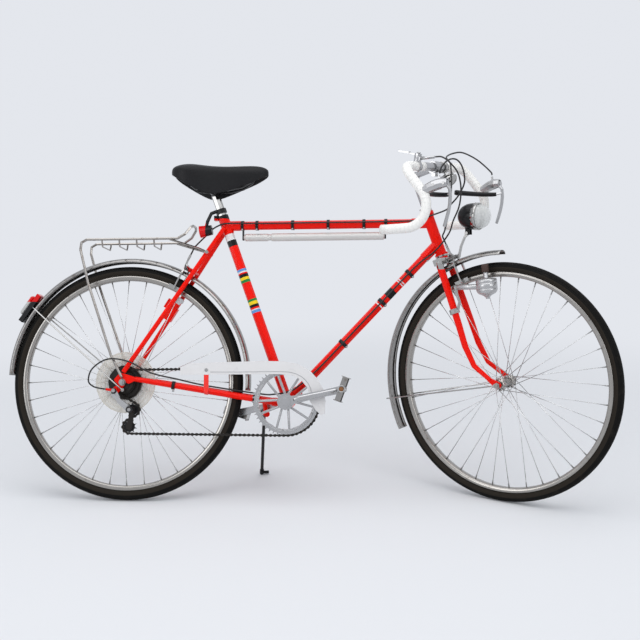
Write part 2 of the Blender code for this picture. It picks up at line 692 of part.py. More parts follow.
# Seatstays, with the bridge that carries the rear brake
STAY_DIR = (STAY_HEAD - STAY_FOOT).normalized()
STAY_LOW = STAY_FOOT + STAY_DIR * (SEATSTAY_RADIUS + 0.0036)
REAR_BRAKE_ANGLE = radians(62.5)
REAR_BRAKE_REACH = 0.380
radial = Vector((cos(REAR_BRAKE_ANGLE), 0, sin(REAR_BRAKE_ANGLE)))
BRIDGE_T = (REAR_BRAKE_REACH - (STAY_FOOT - REAR_HUB).dot(radial)) / (STAY_HEAD - STAY_FOOT).dot(radial)
BRIDGE = STAY_FOOT.lerp(STAY_HEAD, BRIDGE_T)
REAR_BRAKE = REAR_HUB + radial * REAR_BRAKE_REACH
REAR_BRAKE_OUT = Vector((-sin(REAR_BRAKE_ANGLE), 0, cos(REAR_BRAKE_ANGLE)))
ARM_PLATE = 0.0045
BOLT_RADIUS = 0.003


def brake_bolt(name, start, pivot, out):
    """Bolt of a caliper, with the boss behind the arms and the nut before them."""
    return joined(rod(name, start, pivot - out * (ARM_PLATE + 2 * GAP), 0.0065, 10),
                  rod(name, start, pivot + out * (ARM_PLATE + 0.006), BOLT_RADIUS, 10),
                  rod(name, pivot + out * (ARM_PLATE + 2 * GAP), pivot + out * (ARM_PLATE + 0.0055), 0.0055, 6))


lug_cut = rod("c", on_seat(0.7), on_seat(0.9), SEAT_LUG_RADIUS + GAP)
right_seatstay = joined(
    rod("s", mirror_y(STAY_LOW), mirror_y(STAY_HEAD), SEATSTAY_RADIUS),
    across("s", BRIDGE.x, BRIDGE.z, -BRIDGE.y, BRIDGE.y - SEATSTAY_RADIUS - 0.0008, BRIDGE_RADIUS),
    brake_bolt("s", Vector((BRIDGE.x, 0, BRIDGE.z)), REAR_BRAKE, REAR_BRAKE_OUT))
finish("right_seatstay", cut(right_seatstay, lug_cut), RED)
lug_cut = rod("c", on_seat(0.7), on_seat(0.9), SEAT_LUG_RADIUS + GAP)
left_seatstay = cut(rod("s", STAY_LOW, STAY_HEAD, SEATSTAY_RADIUS), lug_cut)
finish("left_seatstay", left_seatstay, RED)

# Seat post with the saddle clamp and rails
POST_TOP = on_seat(0.903)
RAIL_RADIUS = 0.0035
RAIL_PATH = [(0.168, 0.036, 0.958), (0.180, 0.033, 0.936), (0.203, 0.026, 0.917), (0.235, 0.022, 0.912),
             (0.300, 0.021, 0.912), (0.340, 0.017, 0.920), (0.366, 0.011, 0.936), (0.382, 0.008, 0.956)]


def post_top(swell=0.0):
    parts = [rod("p", on_seat(0.742), POST_TOP, POST_RADIUS + (swell if swell else 0))]
    centre = on_seat(0.911)
    parts.append(across("p", centre.x, centre.z, -0.029 - swell, 0.029 + swell, 0.0125 + swell, 10))
    for side in (1, -1):
        line = [(x, y * side, z) for x, y, z in RAIL_PATH]
        parts.append(tube("r", line, RAIL_RADIUS + swell, 6))
    return joined(*parts)


finish("seat_post", post_top(), CHROME)

# Saddle: stations of x, half width, top, edge and skirt
SADDLE = [(0.134, 0.046, 0.978, 0.968, 0.956), (0.150, 0.070, 0.989, 0.975, 0.940),
          (0.188, 0.078, 0.991, 0.974, 0.918), (0.232, 0.066, 0.986, 0.970, 0.897),
          (0.272, 0.044, 0.984, 0.968, 0.902), (0.318, 0.029, 0.984, 0.968, 0.924),
          (0.362, 0.0245, 0.985, 0.968, 0.940), (0.398, 0.021, 0.982, 0.964, 0.950),
          (0.412, 0.013, 0.972, 0.961, 0.955)]
SADDLE_PAD = 0.034


def saddle_body():
    bm = bmesh.new()
    rings = []
    for x, w, top, edge, skirt in SADDLE:
        under = min(top - SADDLE_PAD, edge - 0.006)
        low = min(skirt, under)
        half = [(0.50 * w, top - 0.0005), (0.86 * w, edge + 0.006), (w, edge - 0.005), (0.95 * w, (edge + low) / 2),
                (0.90 * w, low), (0.90 * w - 0.008, low), (0.60 * w, under)]
        loop = [(0, top)] + half + [(0, under)] + [(-y, z) for y, z in half[::-1]]
        rings.append([bm.verts.new((x, y, z)) for y, z in loop])
    for a, b in zip(rings, rings[1:]):
        for i in range(len(a)):
            j = (i + 1) % len(a)
            bm.faces.new((a[i], a[j], b[j], b[i]))
    bm.faces.new(rings[0])
    bm.faces.new(rings[-1][::-1])
    return settle(from_bmesh("saddle", bm))


finish("saddle", cut(saddle_body(), post_top(GAP)), VINYL, smooth=60)


def mudguard(name, centre, radius, arc, steps):
    """Curved sheet round a wheel, as a turned section given thickness."""
    r = radius - GUARD_SHEET / 2
    w = GUARD_HALF_WIDTH
    profile = [(r - GUARD_DEPTH, w), (r - 0.0030, w * 0.62), (r, 0.0), (r - 0.0030, -w * 0.62), (r - GUARD_DEPTH, -w)]
    start = (cos(arc[1]), 0, sin(arc[1]))
    sheet = turned(name, profile, (centre[0], 0, centre[1]), (0, 1, 0), steps, closed=False, arc=arc[1] - arc[0],
                   start=start)
    sheet = settle(sheet)
    wall = sheet.modifiers.new("wall", "SOLIDIFY")
    wall.thickness = GUARD_SHEET
    wall.offset = 0.0
    return settle(sheet)


def guard_stay(side, top, eye, inner, sides=5):
    """Wire stay from the edge of a mudguard to its eyelet."""
    lift = STAY_WIRE_RADIUS + 0.0002
    foot = (eye[0], side * (inner + lift), eye[1])
    route = [(top[0], side * (GUARD_HALF_WIDTH - 0.001), top[1]),
             (top[0] + (eye[0] - top[0]) * 0.04, side * (GUARD_HALF_WIDTH + 0.004), top[1] + (eye[1] - top[1]) * 0.04),
             (top[0] + (eye[0] - top[0]) * 0.90, side * (inner + lift), top[1] + (eye[1] - top[1]) * 0.90), foot]
    return [tube("w", route, STAY_WIRE_RADIUS, sides),
            rod("w", (eye[0], side * inner, eye[1]), (eye[0], side * (inner + 0.0035), eye[1]), 0.0052, 8)]


def polar(centre, radius, angle):
    return (centre[0] + radius * cos(angle), centre[1] + radius * sin(angle))


rear_guard = mudguard("g", REAR_GUARD_CENTRE, REAR_GUARD_RADIUS, REAR_GUARD_ARC, 20)
stay_top = polar(REAR_GUARD_CENTRE, REAR_GUARD_RADIUS - GUARD_DEPTH, radians(143))
tab_x = BRIDGE_X + 0.002
end_x, end_z = polar(REAR_GUARD_CENTRE, REAR_GUARD_RADIUS, REAR_GUARD_ARC[0])
fittings = guard_stay(1, stay_top, EYELET, DROP_OUT + GAP) + guard_stay(-1, stay_top, EYELET, DROP_OUT + GAP)
fittings.append(block("t", (tab_x - 0.004, -0.007, LEFT_BRIDGE.z), (end_x + 0.0005, 0.007, end_z + 0.004)))
tab_dir = Vector((REAR_GUARD_CENTRE[0], 0, REAR_GUARD_CENTRE[1])) - Vector((BRIDGE.x, 0, BRIDGE.z))
reach = tab_dir.length - REAR_GUARD_RADIUS
turn = frame_matrix((BRIDGE.x, 0, BRIDGE.z), (0, 1, 0), tab_dir)
fittings.append(block("t", (-0.008, -0.006, 0.002), (0.008, 0.006, reach + 0.0012), turn))
rear_guard = joined(rear_guard, *fittings)
rear_guard = cut(rear_guard, across("c", BRIDGE.x, BRIDGE.z, -0.03, 0.03, BRIDGE_RADIUS + GAP),
                 across("c", BRIDGE_X, LEFT_BRIDGE.z, -0.03, 0.03, BRIDGE_RADIUS + GAP),
                 rod("c", (BRIDGE.x, 0, BRIDGE.z), REAR_BRAKE, bore(0.0065, 10), 10))
finish("rear_mudguard", rear_guard, CHROME)

# Reflector unit on the back of the rear mudguard
REFLECTOR_ANGLE = radians(144)
REFLECTOR_LENGTH = 0.096
ref_x, ref_z = polar(REAR_GUARD_CENTRE, REAR_GUARD_RADIUS, REFLECTOR_ANGLE)
turn = frame_matrix((ref_x, 0, ref_z), (0, 1, 0), (cos(REFLECTOR_ANGLE), 0, sin(REFLECTOR_ANGLE)))
sag = REFLECTOR_LENGTH ** 2 / (8 * REAR_GUARD_RADIUS)
case = block("r", (-0.020, -REFLECTOR_LENGTH / 2, GAP), (0.020, REFLECTOR_LENGTH / 2, 0.013), turn)
bulge = block("r", (-0.017, -0.034, 0.012), (0.017, 0.030, 0.026), turn)
edge = bulge.modifiers.new("round", "BEVEL")
edge.width = 0.005
edge.segments = 1
foot = block("r", (-0.008, -0.010, GAP), (0.008, 0.010, 0.006), turn)
finish("rear_reflector", joined(case, bulge, foot), RUBY)

# Carrier: one bent bar from axle to axle with a hoop in front, cross wires and struts to the seatstays
EYE_IN = DROP_OUT + GAP
EYE_PLATE = 0.0022
W = RACK_HALF_WIDTH
RY = EYE_IN + RACK_WIRE + 0.0002
half_loop = [(-0.001, RY, TYRE_RADIUS + 0.0155), (-0.034, RY - 0.001, 0.424), (-0.107, 0.0585, 0.634),
             (-0.134, 0.053, 0.736), (-0.132, 0.051, 0.757), (-0.116, W, RACK_HEIGHT),
             (RACK_FRONT - 0.016, W, RACK_HEIGHT), (RACK_FRONT + 0.006, W - 0.004, RACK_HEIGHT + 0.014),
             (RACK_FRONT + 0.020, W - 0.012, RACK_HEIGHT + 0.034), (RACK_FRONT + 0.024, 0.020, RACK_HEIGHT + 0.041)]
loop = half_loop + [(x, -y, z) for x, y, z in half_loop[::-1]]
rack_parts = [tube("r", loop, RACK_WIRE, 6)]
for x in RACK_CROSS_X:
    dip = RACK_HEIGHT - 0.021
    u = [(x, W, RACK_HEIGHT - 0.001), (x, W - 0.010, dip), (x, -W + 0.010, dip), (x, -W, RACK_HEIGHT - 0.001)]
    rack_parts.append(tube("r", u, RACK_CROSS_WIRE, 5))
strut_z = 0.727
strut_t = (strut_z - STAY_FOOT.z) / (STAY_HEAD.z - STAY_FOOT.z)
strut_at = STAY_FOOT.lerp(STAY_HEAD, strut_t)
strut_y = strut_at.y + SEATSTAY_RADIUS + 0.0028
for side in (1, -1):
    a = (RACK_FRONT - 0.040, side * W, RACK_HEIGHT - 0.002)
    b = (strut_at.x - 0.022, side * (strut_y + 0.003), strut_z + 0.010)
    c = (strut_at.x, side * (strut_y + 0.0005), strut_z)
    rack_parts.append(tube("r", [a, b, c], 0.003, 5))
    rack_parts.append(rod("r", (c[0], side * (strut_y - 0.001), c[2]), (c[0], side * (strut_y + 0.003), c[2]), 0.0055, 8))
    rack_parts.append(across("r", 0, TYRE_RADIUS, side * EYE_IN, side * (EYE_IN + EYE_PLATE), 0.0105, 10))
    rack_parts.append(rod("r", (0, side * (EYE_IN + EYE_PLATE / 2), TYRE_RADIUS + 0.0085),
                          (-0.001, side * RY, TYRE_RADIUS + 0.0165), 0.0010, 6, RACK_WIRE))
rack = joined(*rack_parts)
rack = cut(rack, across("r", 0, TYRE_RADIUS, -0.1, 0.1, AXLE_RADIUS + GAP, 10))
finish("rack", rack, CHROME)


def wheel_axle(name, hub, face, plate_out, eye, inner_left, inner_right):
    """Axle with its cones inside the hub and its nuts outside the dropouts."""
    nut = plate_out + eye + 2 * GAP
    parts = [across(name, hub.x, hub.z, -nut - AXLE_NUT_HEIGHT - 0.003, nut + AXLE_NUT_HEIGHT + 0.003, AXLE_RADIUS, 8),
             across(name, hub.x, hub.z, inner_left, face, HUB_BORE_RADIUS - 0.0008, 8),
             across(name, hub.x, hub.z, -inner_right, -face, HUB_BORE_RADIUS - 0.0008, 8),
             across(name, hub.x, hub.z, nut, nut + AXLE_NUT_HEIGHT, AXLE_NUT_RADIUS, 6),
             across(name, hub.x, hub.z, -nut, -nut - AXLE_NUT_HEIGHT, AXLE_NUT_RADIUS, 6)]
    return joined(*parts)


finish("rear_axle", wheel_axle("a", REAR_HUB, REAR_DROPOUT_FACE, DROP_OUT, EYE_PLATE + GAP, 0.030, 0.036), STEEL)

# Tail lamp on its clamp round the seat post
LAMP_CLAMP = (0.8445, 0.8575)
LAMP_AT = Vector((0.236, -0.027, 0.790))
ring_at = on_seat(0.851)
lamp = joined(
    rod("l", on_seat(LAMP_CLAMP[0]), on_seat(LAMP_CLAMP[1]), POST_RADIUS + GAP + 0.0035),
    tube("l", [(ring_at.x - 0.010, -0.010, ring_at.z), (ring_at.x - 0.026, -0.019, ring_at.z - 0.008),
               (LAMP_AT.x + 0.004, LAMP_AT.y + 0.001, LAMP_AT.z + 0.028), (LAMP_AT.x, LAMP_AT.y, LAMP_AT.z + 0.010)],
         0.0052, 8),
    rod("l", LAMP_AT - Vector((0.018, 0, 0.003)), LAMP_AT + Vector((0.018, 0, 0.003)), 0.018, 16, 0.0145))
lamp = cut(lamp, rod("l", on_seat(0.80), on_seat(0.90), POST_RADIUS + GAP))
finish("tail_lamp", lamp, RUBY)

# Wheel lock on the left seatstay
lock_at = STAY_FOOT.lerp(STAY_HEAD, (0.560 - STAY_FOOT.z) / (STAY_HEAD.z - STAY_FOOT.z))
turn = frame_matrix(lock_at, (0, -1, 0), STAY_DIR)
clear = SEATSTAY_RADIUS + 0.0006
lock = joined(
    block("k", (clear, -0.013, -0.032), (clear + 0.019, 0.013, 0.012), turn),
    rod("k", turn @ Vector((clear + 0.0095, 0, 0.010)), turn @ Vector((clear + 0.0095, 0, 0.046)), 0.0088, 10),
    block("k", (clear + 0.001, -0.030, -0.004), (clear + 0.013, -0.012, 0.026), turn),
    rod("k", turn @ Vector((0, 0, -0.020)), turn @ Vector((0, 0, -0.008)), SEATSTAY_RADIUS + 0.003),
    rod("k", turn @ Vector((0, 0, 0.032)), turn @ Vector((0, 0, 0.041)), SEATSTAY_RADIUS + 0.003))
lock = cut(lock, rod("k", STAY_LOW, STAY_HEAD, SEATSTAY_RADIUS + GAP))
finish("wheel_lock", lock, RED)

# Prop stand leg
leg_end = stand_aim
knuckle = rod("k", PIVOT - STAND_AXIS * 0.007, PIVOT + STAND_AXIS * 0.010, 0.009)
leg = joined(knuckle, rod("k", PIVOT + LEG_DIR * 0.0055, leg_end, STAND_RADIUS, 8),
             rod("k", leg_end - LEG_DIR * 0.016, leg_end, STAND_RADIUS + 0.0018, 8))
leg = cut(leg, rod("k", PIVOT - STAND_AXIS * 0.03, PIVOT + STAND_AXIS * 0.03, bore(0.004, 8), 8))
finish("kickstand", leg, BLACK, STAND_AXIS_EMPTY)


# Wheels
def rim_body():
    w, e = RIM_WIDTH / 2, RIM_EDGE_RADIUS
    inner = w - RIM_WALL
    return [(e, w), (e, inner), (RIM_BED_RADIUS, inner), (RIM_BED_RADIUS, -inner), (e, -inner), (e, -w),
            (RIM_INNER_RADIUS + 0.003, -w), (RIM_INNER_RADIUS, 0.0), (RIM_INNER_RADIUS + 0.003, w)]


def tyre_body():
    bead = RIM_WIDTH / 2 - RIM_WALL - GAP
    foot = RIM_BED_RADIUS + GAP
    lip = RIM_EDGE_RADIUS + GAP * 2
    w, r = TYRE_WIDTH / 2, TYRE_RADIUS
    half = [(foot, bead), (lip, bead), (r - w, w), (r - 0.0045, w * 0.68)]
    return half + [(r, 0.0)] + [(a, -b) for a, b in half[::-1]] + [(r - 0.009, 0.0)]


def hub_body(left, right, flange, boss, boss_end, end):
    """Hub shell of (radius, y) points, with a boss on the right that may carry the freewheel."""
    t = FLANGE_THICKNESS / 2
    b, bore = HUB_BARREL_RADIUS, HUB_BORE_RADIUS
    return [(flange, left + t), (flange, left - t), (b, left - t - 0.003), (b, -right + t + 0.003),
            (flange, -right + t), (flange, -right - t), (boss, -right - t), (boss, -boss_end), (bore, -boss_end),
            (bore, end), (b + 0.002, end), (b + 0.002, left + t)]


SPOKE_OFFSET = 0.0022
SPOKE_END = RIM_INNER_RADIUS * cos(pi / WHEEL_SEGMENTS) - GAP


def spokes(hub, left, right, flange):
    """Crossed spokes of a wheel, each a three-sided bar from the flange to the rim."""
    made = bmesh.new()
    step = 4 * pi / SPOKES
    for side, base in ((1, left), (-1, -right)):
        for k in range(SPOKES // 2):
            rim_angle = k * step + (0 if side > 0 else step / 2)
            lead = -1 if k % 2 else 1
            hub_angle = rim_angle + lead * SPOKE_CROSS * step
            y = base + lead * SPOKE_OFFSET
            r = flange - 0.0025
            start = hub + Vector((r * cos(hub_angle), y, r * sin(hub_angle)))
            end = hub + Vector((SPOKE_END * cos(rim_angle), side * 0.0015, SPOKE_END * sin(rim_angle)))
            d = (end - start).normalized()
            m = frame_matrix((start + end) / 2, (0, 1, 0), d)
            made_cone = bmesh.ops.create_cone(made, cap_ends=True, segments=3, radius1=SPOKE_RADIUS,
                                              radius2=SPOKE_RADIUS, depth=(end - start).length)
            bmesh.ops.transform(made, matrix=m, verts=made_cone["verts"])
    return from_bmesh("spokes", made)


def wheel(prefix, hub, left, right, flange, boss, boss_end, end, axis):
    finish(prefix + "_rim", lathe("r", rim_body(), hub.x, hub.z, WHEEL_SEGMENTS), ALLOY, axis)
    finish(prefix + "_tyre", lathe("t", tyre_body(), hub.x, hub.z, WHEEL_SEGMENTS), RUBBER, axis, 50)
    shell = lathe("h", hub_body(left, right, flange, boss, boss_end, end), hub.x, hub.z, 12)
    finish(prefix + "_hub", joined(shell, spokes(hub, left, right, flange)), STEEL, axis)


BOSS_RADIUS = 0.0120
BOSS_END = 0.045
wheel("rear", REAR_HUB, REAR_FLANGE_LEFT, REAR_FLANGE_RIGHT, REAR_FLANGE_RADIUS, BOSS_RADIUS, BOSS_END, 0.042, REAR_AXIS)
wheel("front", FRONT_HUB, FRONT_FLANGE_OFFSET, FRONT_FLANGE_OFFSET, FRONT_FLANGE_RADIUS, HUB_BARREL_RADIUS + 0.002,
      0.040, 0.040, FRONT_AXIS)

DISC_RADIUS = 0.090
DISC_Y = REAR_FLANGE_RIGHT + SPOKE_OFFSET + SPOKE_RADIUS + 0.0008
disc = ring("d", BOSS_RADIUS + GAP, DISC_RADIUS, -DISC_Y - 0.0012, -DISC_Y, 0, TYRE_RADIUS, 24)
finish("spoke_guard", disc, SMOKE, REAR_AXIS)


# Drive
def pitch_radius(teeth):
    return CHAIN_PITCH / (2 * sin(pi / teeth))


def tooth_outline(centre, teeth, phase, full=True):
    """Outline of a toothed wheel whose valleys lie at the chain's pins."""
    r = pitch_radius(teeth)
    step = 2 * pi / teeth
    valley, tip = r - 0.0046, r + TOOTH_HEIGHT - 0.0003
    points = []
    for k in range(teeth):
        a = phase + k * step
        if full:
            seat = 0.0031 / valley
            spots = [(valley, a - seat), (valley, a + seat), (tip, a + step / 2)]
        else:
            spots = [(tip - 0.0020, a + step / 2)]
        points += [polar(centre, rr, aa) for rr, aa in spots]
    return points


RING_RADIUS = pitch_radius(RING_TEETH)
DRIVE_RADIUS = pitch_radius(SPROCKET_TEETH[DRIVE_SPROCKET])
PULLEY_RADIUS = pitch_radius(PULLEY_TEETH)
HUB_XZ = (REAR_HUB.x, REAR_HUB.z)
BB_XZ = (BB.x, BB.z)


def tangent(c1, r1, s1, c2, r2, s2):
    """Straight run between two circles, s being 1 where the chain keeps the centre on its right."""
    dx, dz = c2[0] - c1[0], c2[1] - c1[1]
    dist = hypot(dx, dz)
    phi = atan2(dz, dx) - asin((s1 * r1 - s2 * r2) / dist)
    nx, nz = -sin(phi), cos(phi)
    return (c1[0] + s1 * r1 * nx, c1[1] + s1 * r1 * nz), (c2[0] + s2 * r2 * nx, c2[1] + s2 * r2 * nz)


def chain_path(cage_angle):
    """Runs and arcs of the chain: sprocket, chainring, lower pulley, upper pulley and back."""
    low = (GUIDE_PULLEY[0] + CAGE_LENGTH * sin(cage_angle), GUIDE_PULLEY[1] - CAGE_LENGTH * cos(cage_angle))
    wheels = [(HUB_XZ, DRIVE_RADIUS, 1), (BB_XZ, RING_RADIUS, 1), (low, PULLEY_RADIUS, 1),
              (GUIDE_PULLEY, PULLEY_RADIUS, -1)]
    runs = [tangent(*wheels[i], *wheels[(i + 1) % 4]) for i in range(4)]
    pieces = []
    for i in range(4):
        a, b = runs[i]
        pieces.append(("line", a, b, hypot(b[0] - a[0], b[1] - a[1])))
        centre, radius, sense = wheels[(i + 1) % 4]
        c = runs[(i + 1) % 4][0]
        a1 = atan2(b[1] - centre[1], b[0] - centre[0])
        a2 = atan2(c[1] - centre[1], c[0] - centre[0])
        sweep = (a1 - a2) % (2 * pi) if sense > 0 else (a2 - a1) % (2 * pi)
        pieces.append(("arc", centre, (radius, a1, -sense), radius * sweep))
    return pieces, low


def path_point(pieces, s):
    for kind, a, b, length in pieces:
        if s <= length:
            if kind == "line":
                t = s / length
                return (a[0] + (b[0] - a[0]) * t, a[1] + (b[1] - a[1]) * t)
            radius, start, sense = b
            return polar(a, radius, start + sense * s / radius)
        s -= length
    return path_point(pieces, s)


def lay_pins(cage_angle):
    """Pins one pitch apart along the path, and how much of a link is left over at the end."""
    pieces, low = chain_path(cage_angle)
    total = sum(p[3] for p in pieces)
    pins, s = [path_point(pieces, 0.0)], 0.0
    while True:
        x0, z0 = pins[-1]
        lo, hi = s + CHAIN_PITCH * 0.98, s + CHAIN_PITCH * 1.10
        for _ in range(34):
            mid = (lo + hi) / 2
            x1, z1 = path_point(pieces, mid)
            if hypot(x1 - x0, z1 - z0) < CHAIN_PITCH:
                lo = mid
            else:
                hi = mid
        if hi > total - CHAIN_PITCH * 0.02:
            left = (total - s) / CHAIN_PITCH
            return pins, left, low
        s = hi
        pins.append(path_point(pieces, s))


def links_at(angle):
    pins, left, low = lay_pins(angle)
    return len(pins) - 1 + left


CAGE_NOMINAL = radians(-6)
count = 2 * round(links_at(CAGE_NOMINAL) / 2)
lo, hi = radians(-60), radians(60)
rising = links_at(hi) > links_at(lo)
for _ in range(40):
    mid = (lo + hi) / 2
    if (links_at(mid) > count) == rising:
        hi = mid
    else:
        lo = mid
CAGE_ANGLE = (lo + hi) / 2
pins, left, LOW_PULLEY = lay_pins(CAGE_ANGLE)
pins = pins[:count]


def phase_on(centre, radius):
    """Angle of a pin that lies on a toothed wheel."""
    best = min(pins, key=lambda p: abs(hypot(p[0] - centre[0], p[1] - centre[1]) - radius))
    return atan2(best[1] - centre[1], best[0] - centre[0])


def meets_teeth(mid):
    """True where the teeth of a wheel reach into the chain."""
    wheels = ((HUB_XZ, DRIVE_RADIUS), (BB_XZ, RING_RADIUS), (LOW_PULLEY, PULLEY_RADIUS), (GUIDE_PULLEY, PULLEY_RADIUS))
    return any(abs(hypot(mid.x - c[0], mid.y - c[1]) - r) < 0.0078 for c, r in wheels)


def chain_band():
    """Side plates as one closed band, with a slot between each pair of rollers that a tooth can enter."""
    n = len(pins)
    outer, inner = [], []
    slots = bmesh.new()
    for i in range(n):
        p, q, o = Vector(pins[i]), Vector(pins[(i + 1) % n]), Vector(pins[i - 1])
        u, v = (q - p).normalized(), (p - o).normalized()
        bis = (u + v).normalized()
        normal = Vector((-bis.y, bis.x))
        flat = Vector((-u.y, u.x))
        mid = (p + q) / 2
        if meets_teeth(mid) or meets_teeth((p + o) / 2):
            outer.append(p + normal * CHAIN_PLATE_HALF)
            inner.append(p - normal * CHAIN_PLATE_HALF)
        if not meets_teeth(mid):
            continue
        cube = bmesh.ops.create_cube(slots, size=1.0)["verts"]
        bmesh.ops.scale(slots, vec=(CHAIN_PITCH - 0.0057, CHAIN_SLOT, 0.014), verts=cube)
        turn = frame_matrix((mid.x, -CHAIN_LINE, mid.y), (u.x, 0, u.y), (flat.x, 0, flat.y))
        bmesh.ops.transform(slots, matrix=turn, verts=cube)
    made = bmesh.new()
    rows = [[made.verts.new((p.x, y, p.y)) for p in line]
            for line, y in ((outer, -CHAIN_LINE - CHAIN_WIDTH / 2), (inner, -CHAIN_LINE - CHAIN_WIDTH / 2),
                            (inner, -CHAIN_LINE + CHAIN_WIDTH / 2), (outer, -CHAIN_LINE + CHAIN_WIDTH / 2))]
    n = len(outer)
    for i in range(n):
        j = (i + 1) % n
        for a, b in zip(rows, rows[1:] + rows[:1]):
            made.faces.new((a[i], a[j], b[j], b[i]))
    return cut(settle(from_bmesh("band", made)), from_bmesh("slots", slots))


finish("chain", chain_band(), STEEL, FRAME)

# Freewheel
HALF_TEETH = PLATE_TEETH / 2
FREE_BODY = 0.0205
BORE_IN = bore(BOSS_RADIUS, 14)
stack = [(BORE_IN, -0.0290), (FREE_BODY, -0.0290)]
for k in reversed(range(len(SPROCKET_TEETH))):
    y = -CHAIN_LINE - (DRIVE_SPROCKET - k) * SPROCKET_SPACING
    size = pitch_radius(SPROCKET_TEETH[k]) + TOOTH_HEIGHT * 0.6
    if k != DRIVE_SPROCKET:
        stack += [(FREE_BODY, y + HALF_TEETH), (size, y + HALF_TEETH), (size, y - HALF_TEETH), (FREE_BODY, y - HALF_TEETH)]
stack += [(FREE_BODY, -0.0572), (0.0085, -0.0572), (0.0085, -BOSS_END - 2 * GAP), (BORE_IN, -BOSS_END - 2 * GAP)]
driven = tooth_outline(HUB_XZ, SPROCKET_TEETH[DRIVE_SPROCKET], phase_on(HUB_XZ, DRIVE_RADIUS))
sprocket = plate("f", [driven, circle(*HUB_XZ, FREE_BODY - 0.003, 14)], -CHAIN_LINE - HALF_TEETH, -CHAIN_LINE + HALF_TEETH)
freewheel = joined(lathe("f", stack, *HUB_XZ, 14), sprocket)
finish("freewheel", freewheel, STEEL, FREEWHEEL_AXIS)

# Chainring, with its outer toothed ring and holes between the spokes of the spider
SPIDER_RADIUS = 0.0855
SPIDER_Y = CHAIN_LINE + HALF_TEETH + GAP
ring_out = tooth_outline(BB_XZ, RING_TEETH, phase_on(BB_XZ, RING_RADIUS))
chainring = plate("c", [ring_out, circle(*BB_XZ, SPIDER_RADIUS - 0.0045, 24)], -CHAIN_LINE - HALF_TEETH,
                  -CHAIN_LINE + HALF_TEETH)
finish("chainring", chainring, ALLOY, CRANK_AXIS)


def crank_arm(side, angle):
    """Tapered crank arm with its boss and the pedal spindle."""
    end = (BB.x + CRANK_LENGTH * cos(angle), BB.z + CRANK_LENGTH * sin(angle))
    inner = CRANK_LINE - 0.0058
    outer = CRANK_LINE + 0.0058
    d = (cos(angle), sin(angle))
    line = [(BB.x, BB.z), (BB.x + d[0] * 0.03, BB.z + d[1] * 0.03), (BB.x + d[0] * 0.10, BB.z + d[1] * 0.10), end]
    arm = plate("a", [strip(line, [0.030, 0.023, 0.019, 0.022])], side * inner, side * outer)
    boss = across("a", BB.x, BB.z, side * (SHELL_WIDTH / 2 + CUP_WIDTH + 0.0016), side * (outer + 0.003), 0.0165, 12)
    spindle = across("a", end[0], end[1], side * (inner + 0.001), side * (PEDAL_END - 0.003), PEDAL_SPINDLE_RADIUS, 8)
    collar = across("a", end[0], end[1], side * (outer - 0.001), side * (PEDAL_FACE - RUN / 2), 0.0075, 8)
    return [arm, boss, spindle, collar], end


right_parts, RIGHT_PEDAL = crank_arm(-1, CRANK_ANGLE)
left_parts, LEFT_PEDAL = crank_arm(1, CRANK_ANGLE + pi)
SPIDER_THICK = 0.0035
SPIDER_ARM = 0.0070
SPIDER_HUB = 0.022


def spider_edge(base, lean, offset):
    """One edge of a slanting spider arm, as points from the hub out to the rim."""
    a = Vector(polar((0, 0), 0.008, base + lean * radians(60)))
    b = Vector(polar((0, 0), SPIDER_RADIUS, base + lean * radians(13)))
    d = (b - a).normalized()
    a = a + Vector((-d.y, d.x)) * offset
    points = []
    for r in (SPIDER_HUB, SPIDER_RADIUS - SPIDER_ARM):
        t = -a.dot(d) + sqrt(a.dot(d) ** 2 - a.dot(a) + r * r)
        points.append(a + d * t)
    return points


windows = []
for k in range(5):
    base = CRANK_ANGLE + radians(36) + k * 2 * pi / 5
    following = base + 2 * pi / 5
    for left, right in ((spider_edge(base, -1, SPIDER_ARM / 2), spider_edge(base, 1, -SPIDER_ARM / 2)),
                        (spider_edge(base, 1, SPIDER_ARM / 2), spider_edge(following, -1, -SPIDER_ARM / 2))):
        shape = [left[0], left[1]]
        a1 = atan2(left[1].y, left[1].x)
        a2 = atan2(right[1].y, right[1].x)
        if a2 < a1:
            a2 += 2 * pi
        shape.append(Vector(polar((0, 0), SPIDER_RADIUS - SPIDER_ARM, (a1 + a2) / 2)))
        shape += [right[1], right[0]]
        windows.append([(BB.x + v.x, BB.z + v.y) for v in shape])
right_parts.append(plate("s", [circle(*BB_XZ, SPIDER_RADIUS, 24)] + windows, -SPIDER_Y - SPIDER_THICK, -SPIDER_Y))
right_parts.append(across("s", BB.x, BB.z, -SPIDER_Y, -CRANK_LINE, 0.024, 12))
spindle_end = CRANK_LINE + 0.004
right_parts.append(across("s", BB.x, BB.z, -CRANK_LINE, spindle_end, SPINDLE_RADIUS, 8))
finish("right_crank", joined(*right_parts), ALLOY, CRANK_AXIS)
left_crank = cut(joined(*left_parts), across("s", BB.x, BB.z, 0.0, spindle_end + GAP, bore(SPINDLE_RADIUS, 8), 8))
finish("left_crank", left_crank, ALLOY, CRANK_AXIS)

PEDAL_LENGTH = 0.072
PEDAL_HEIGHT = 0.024


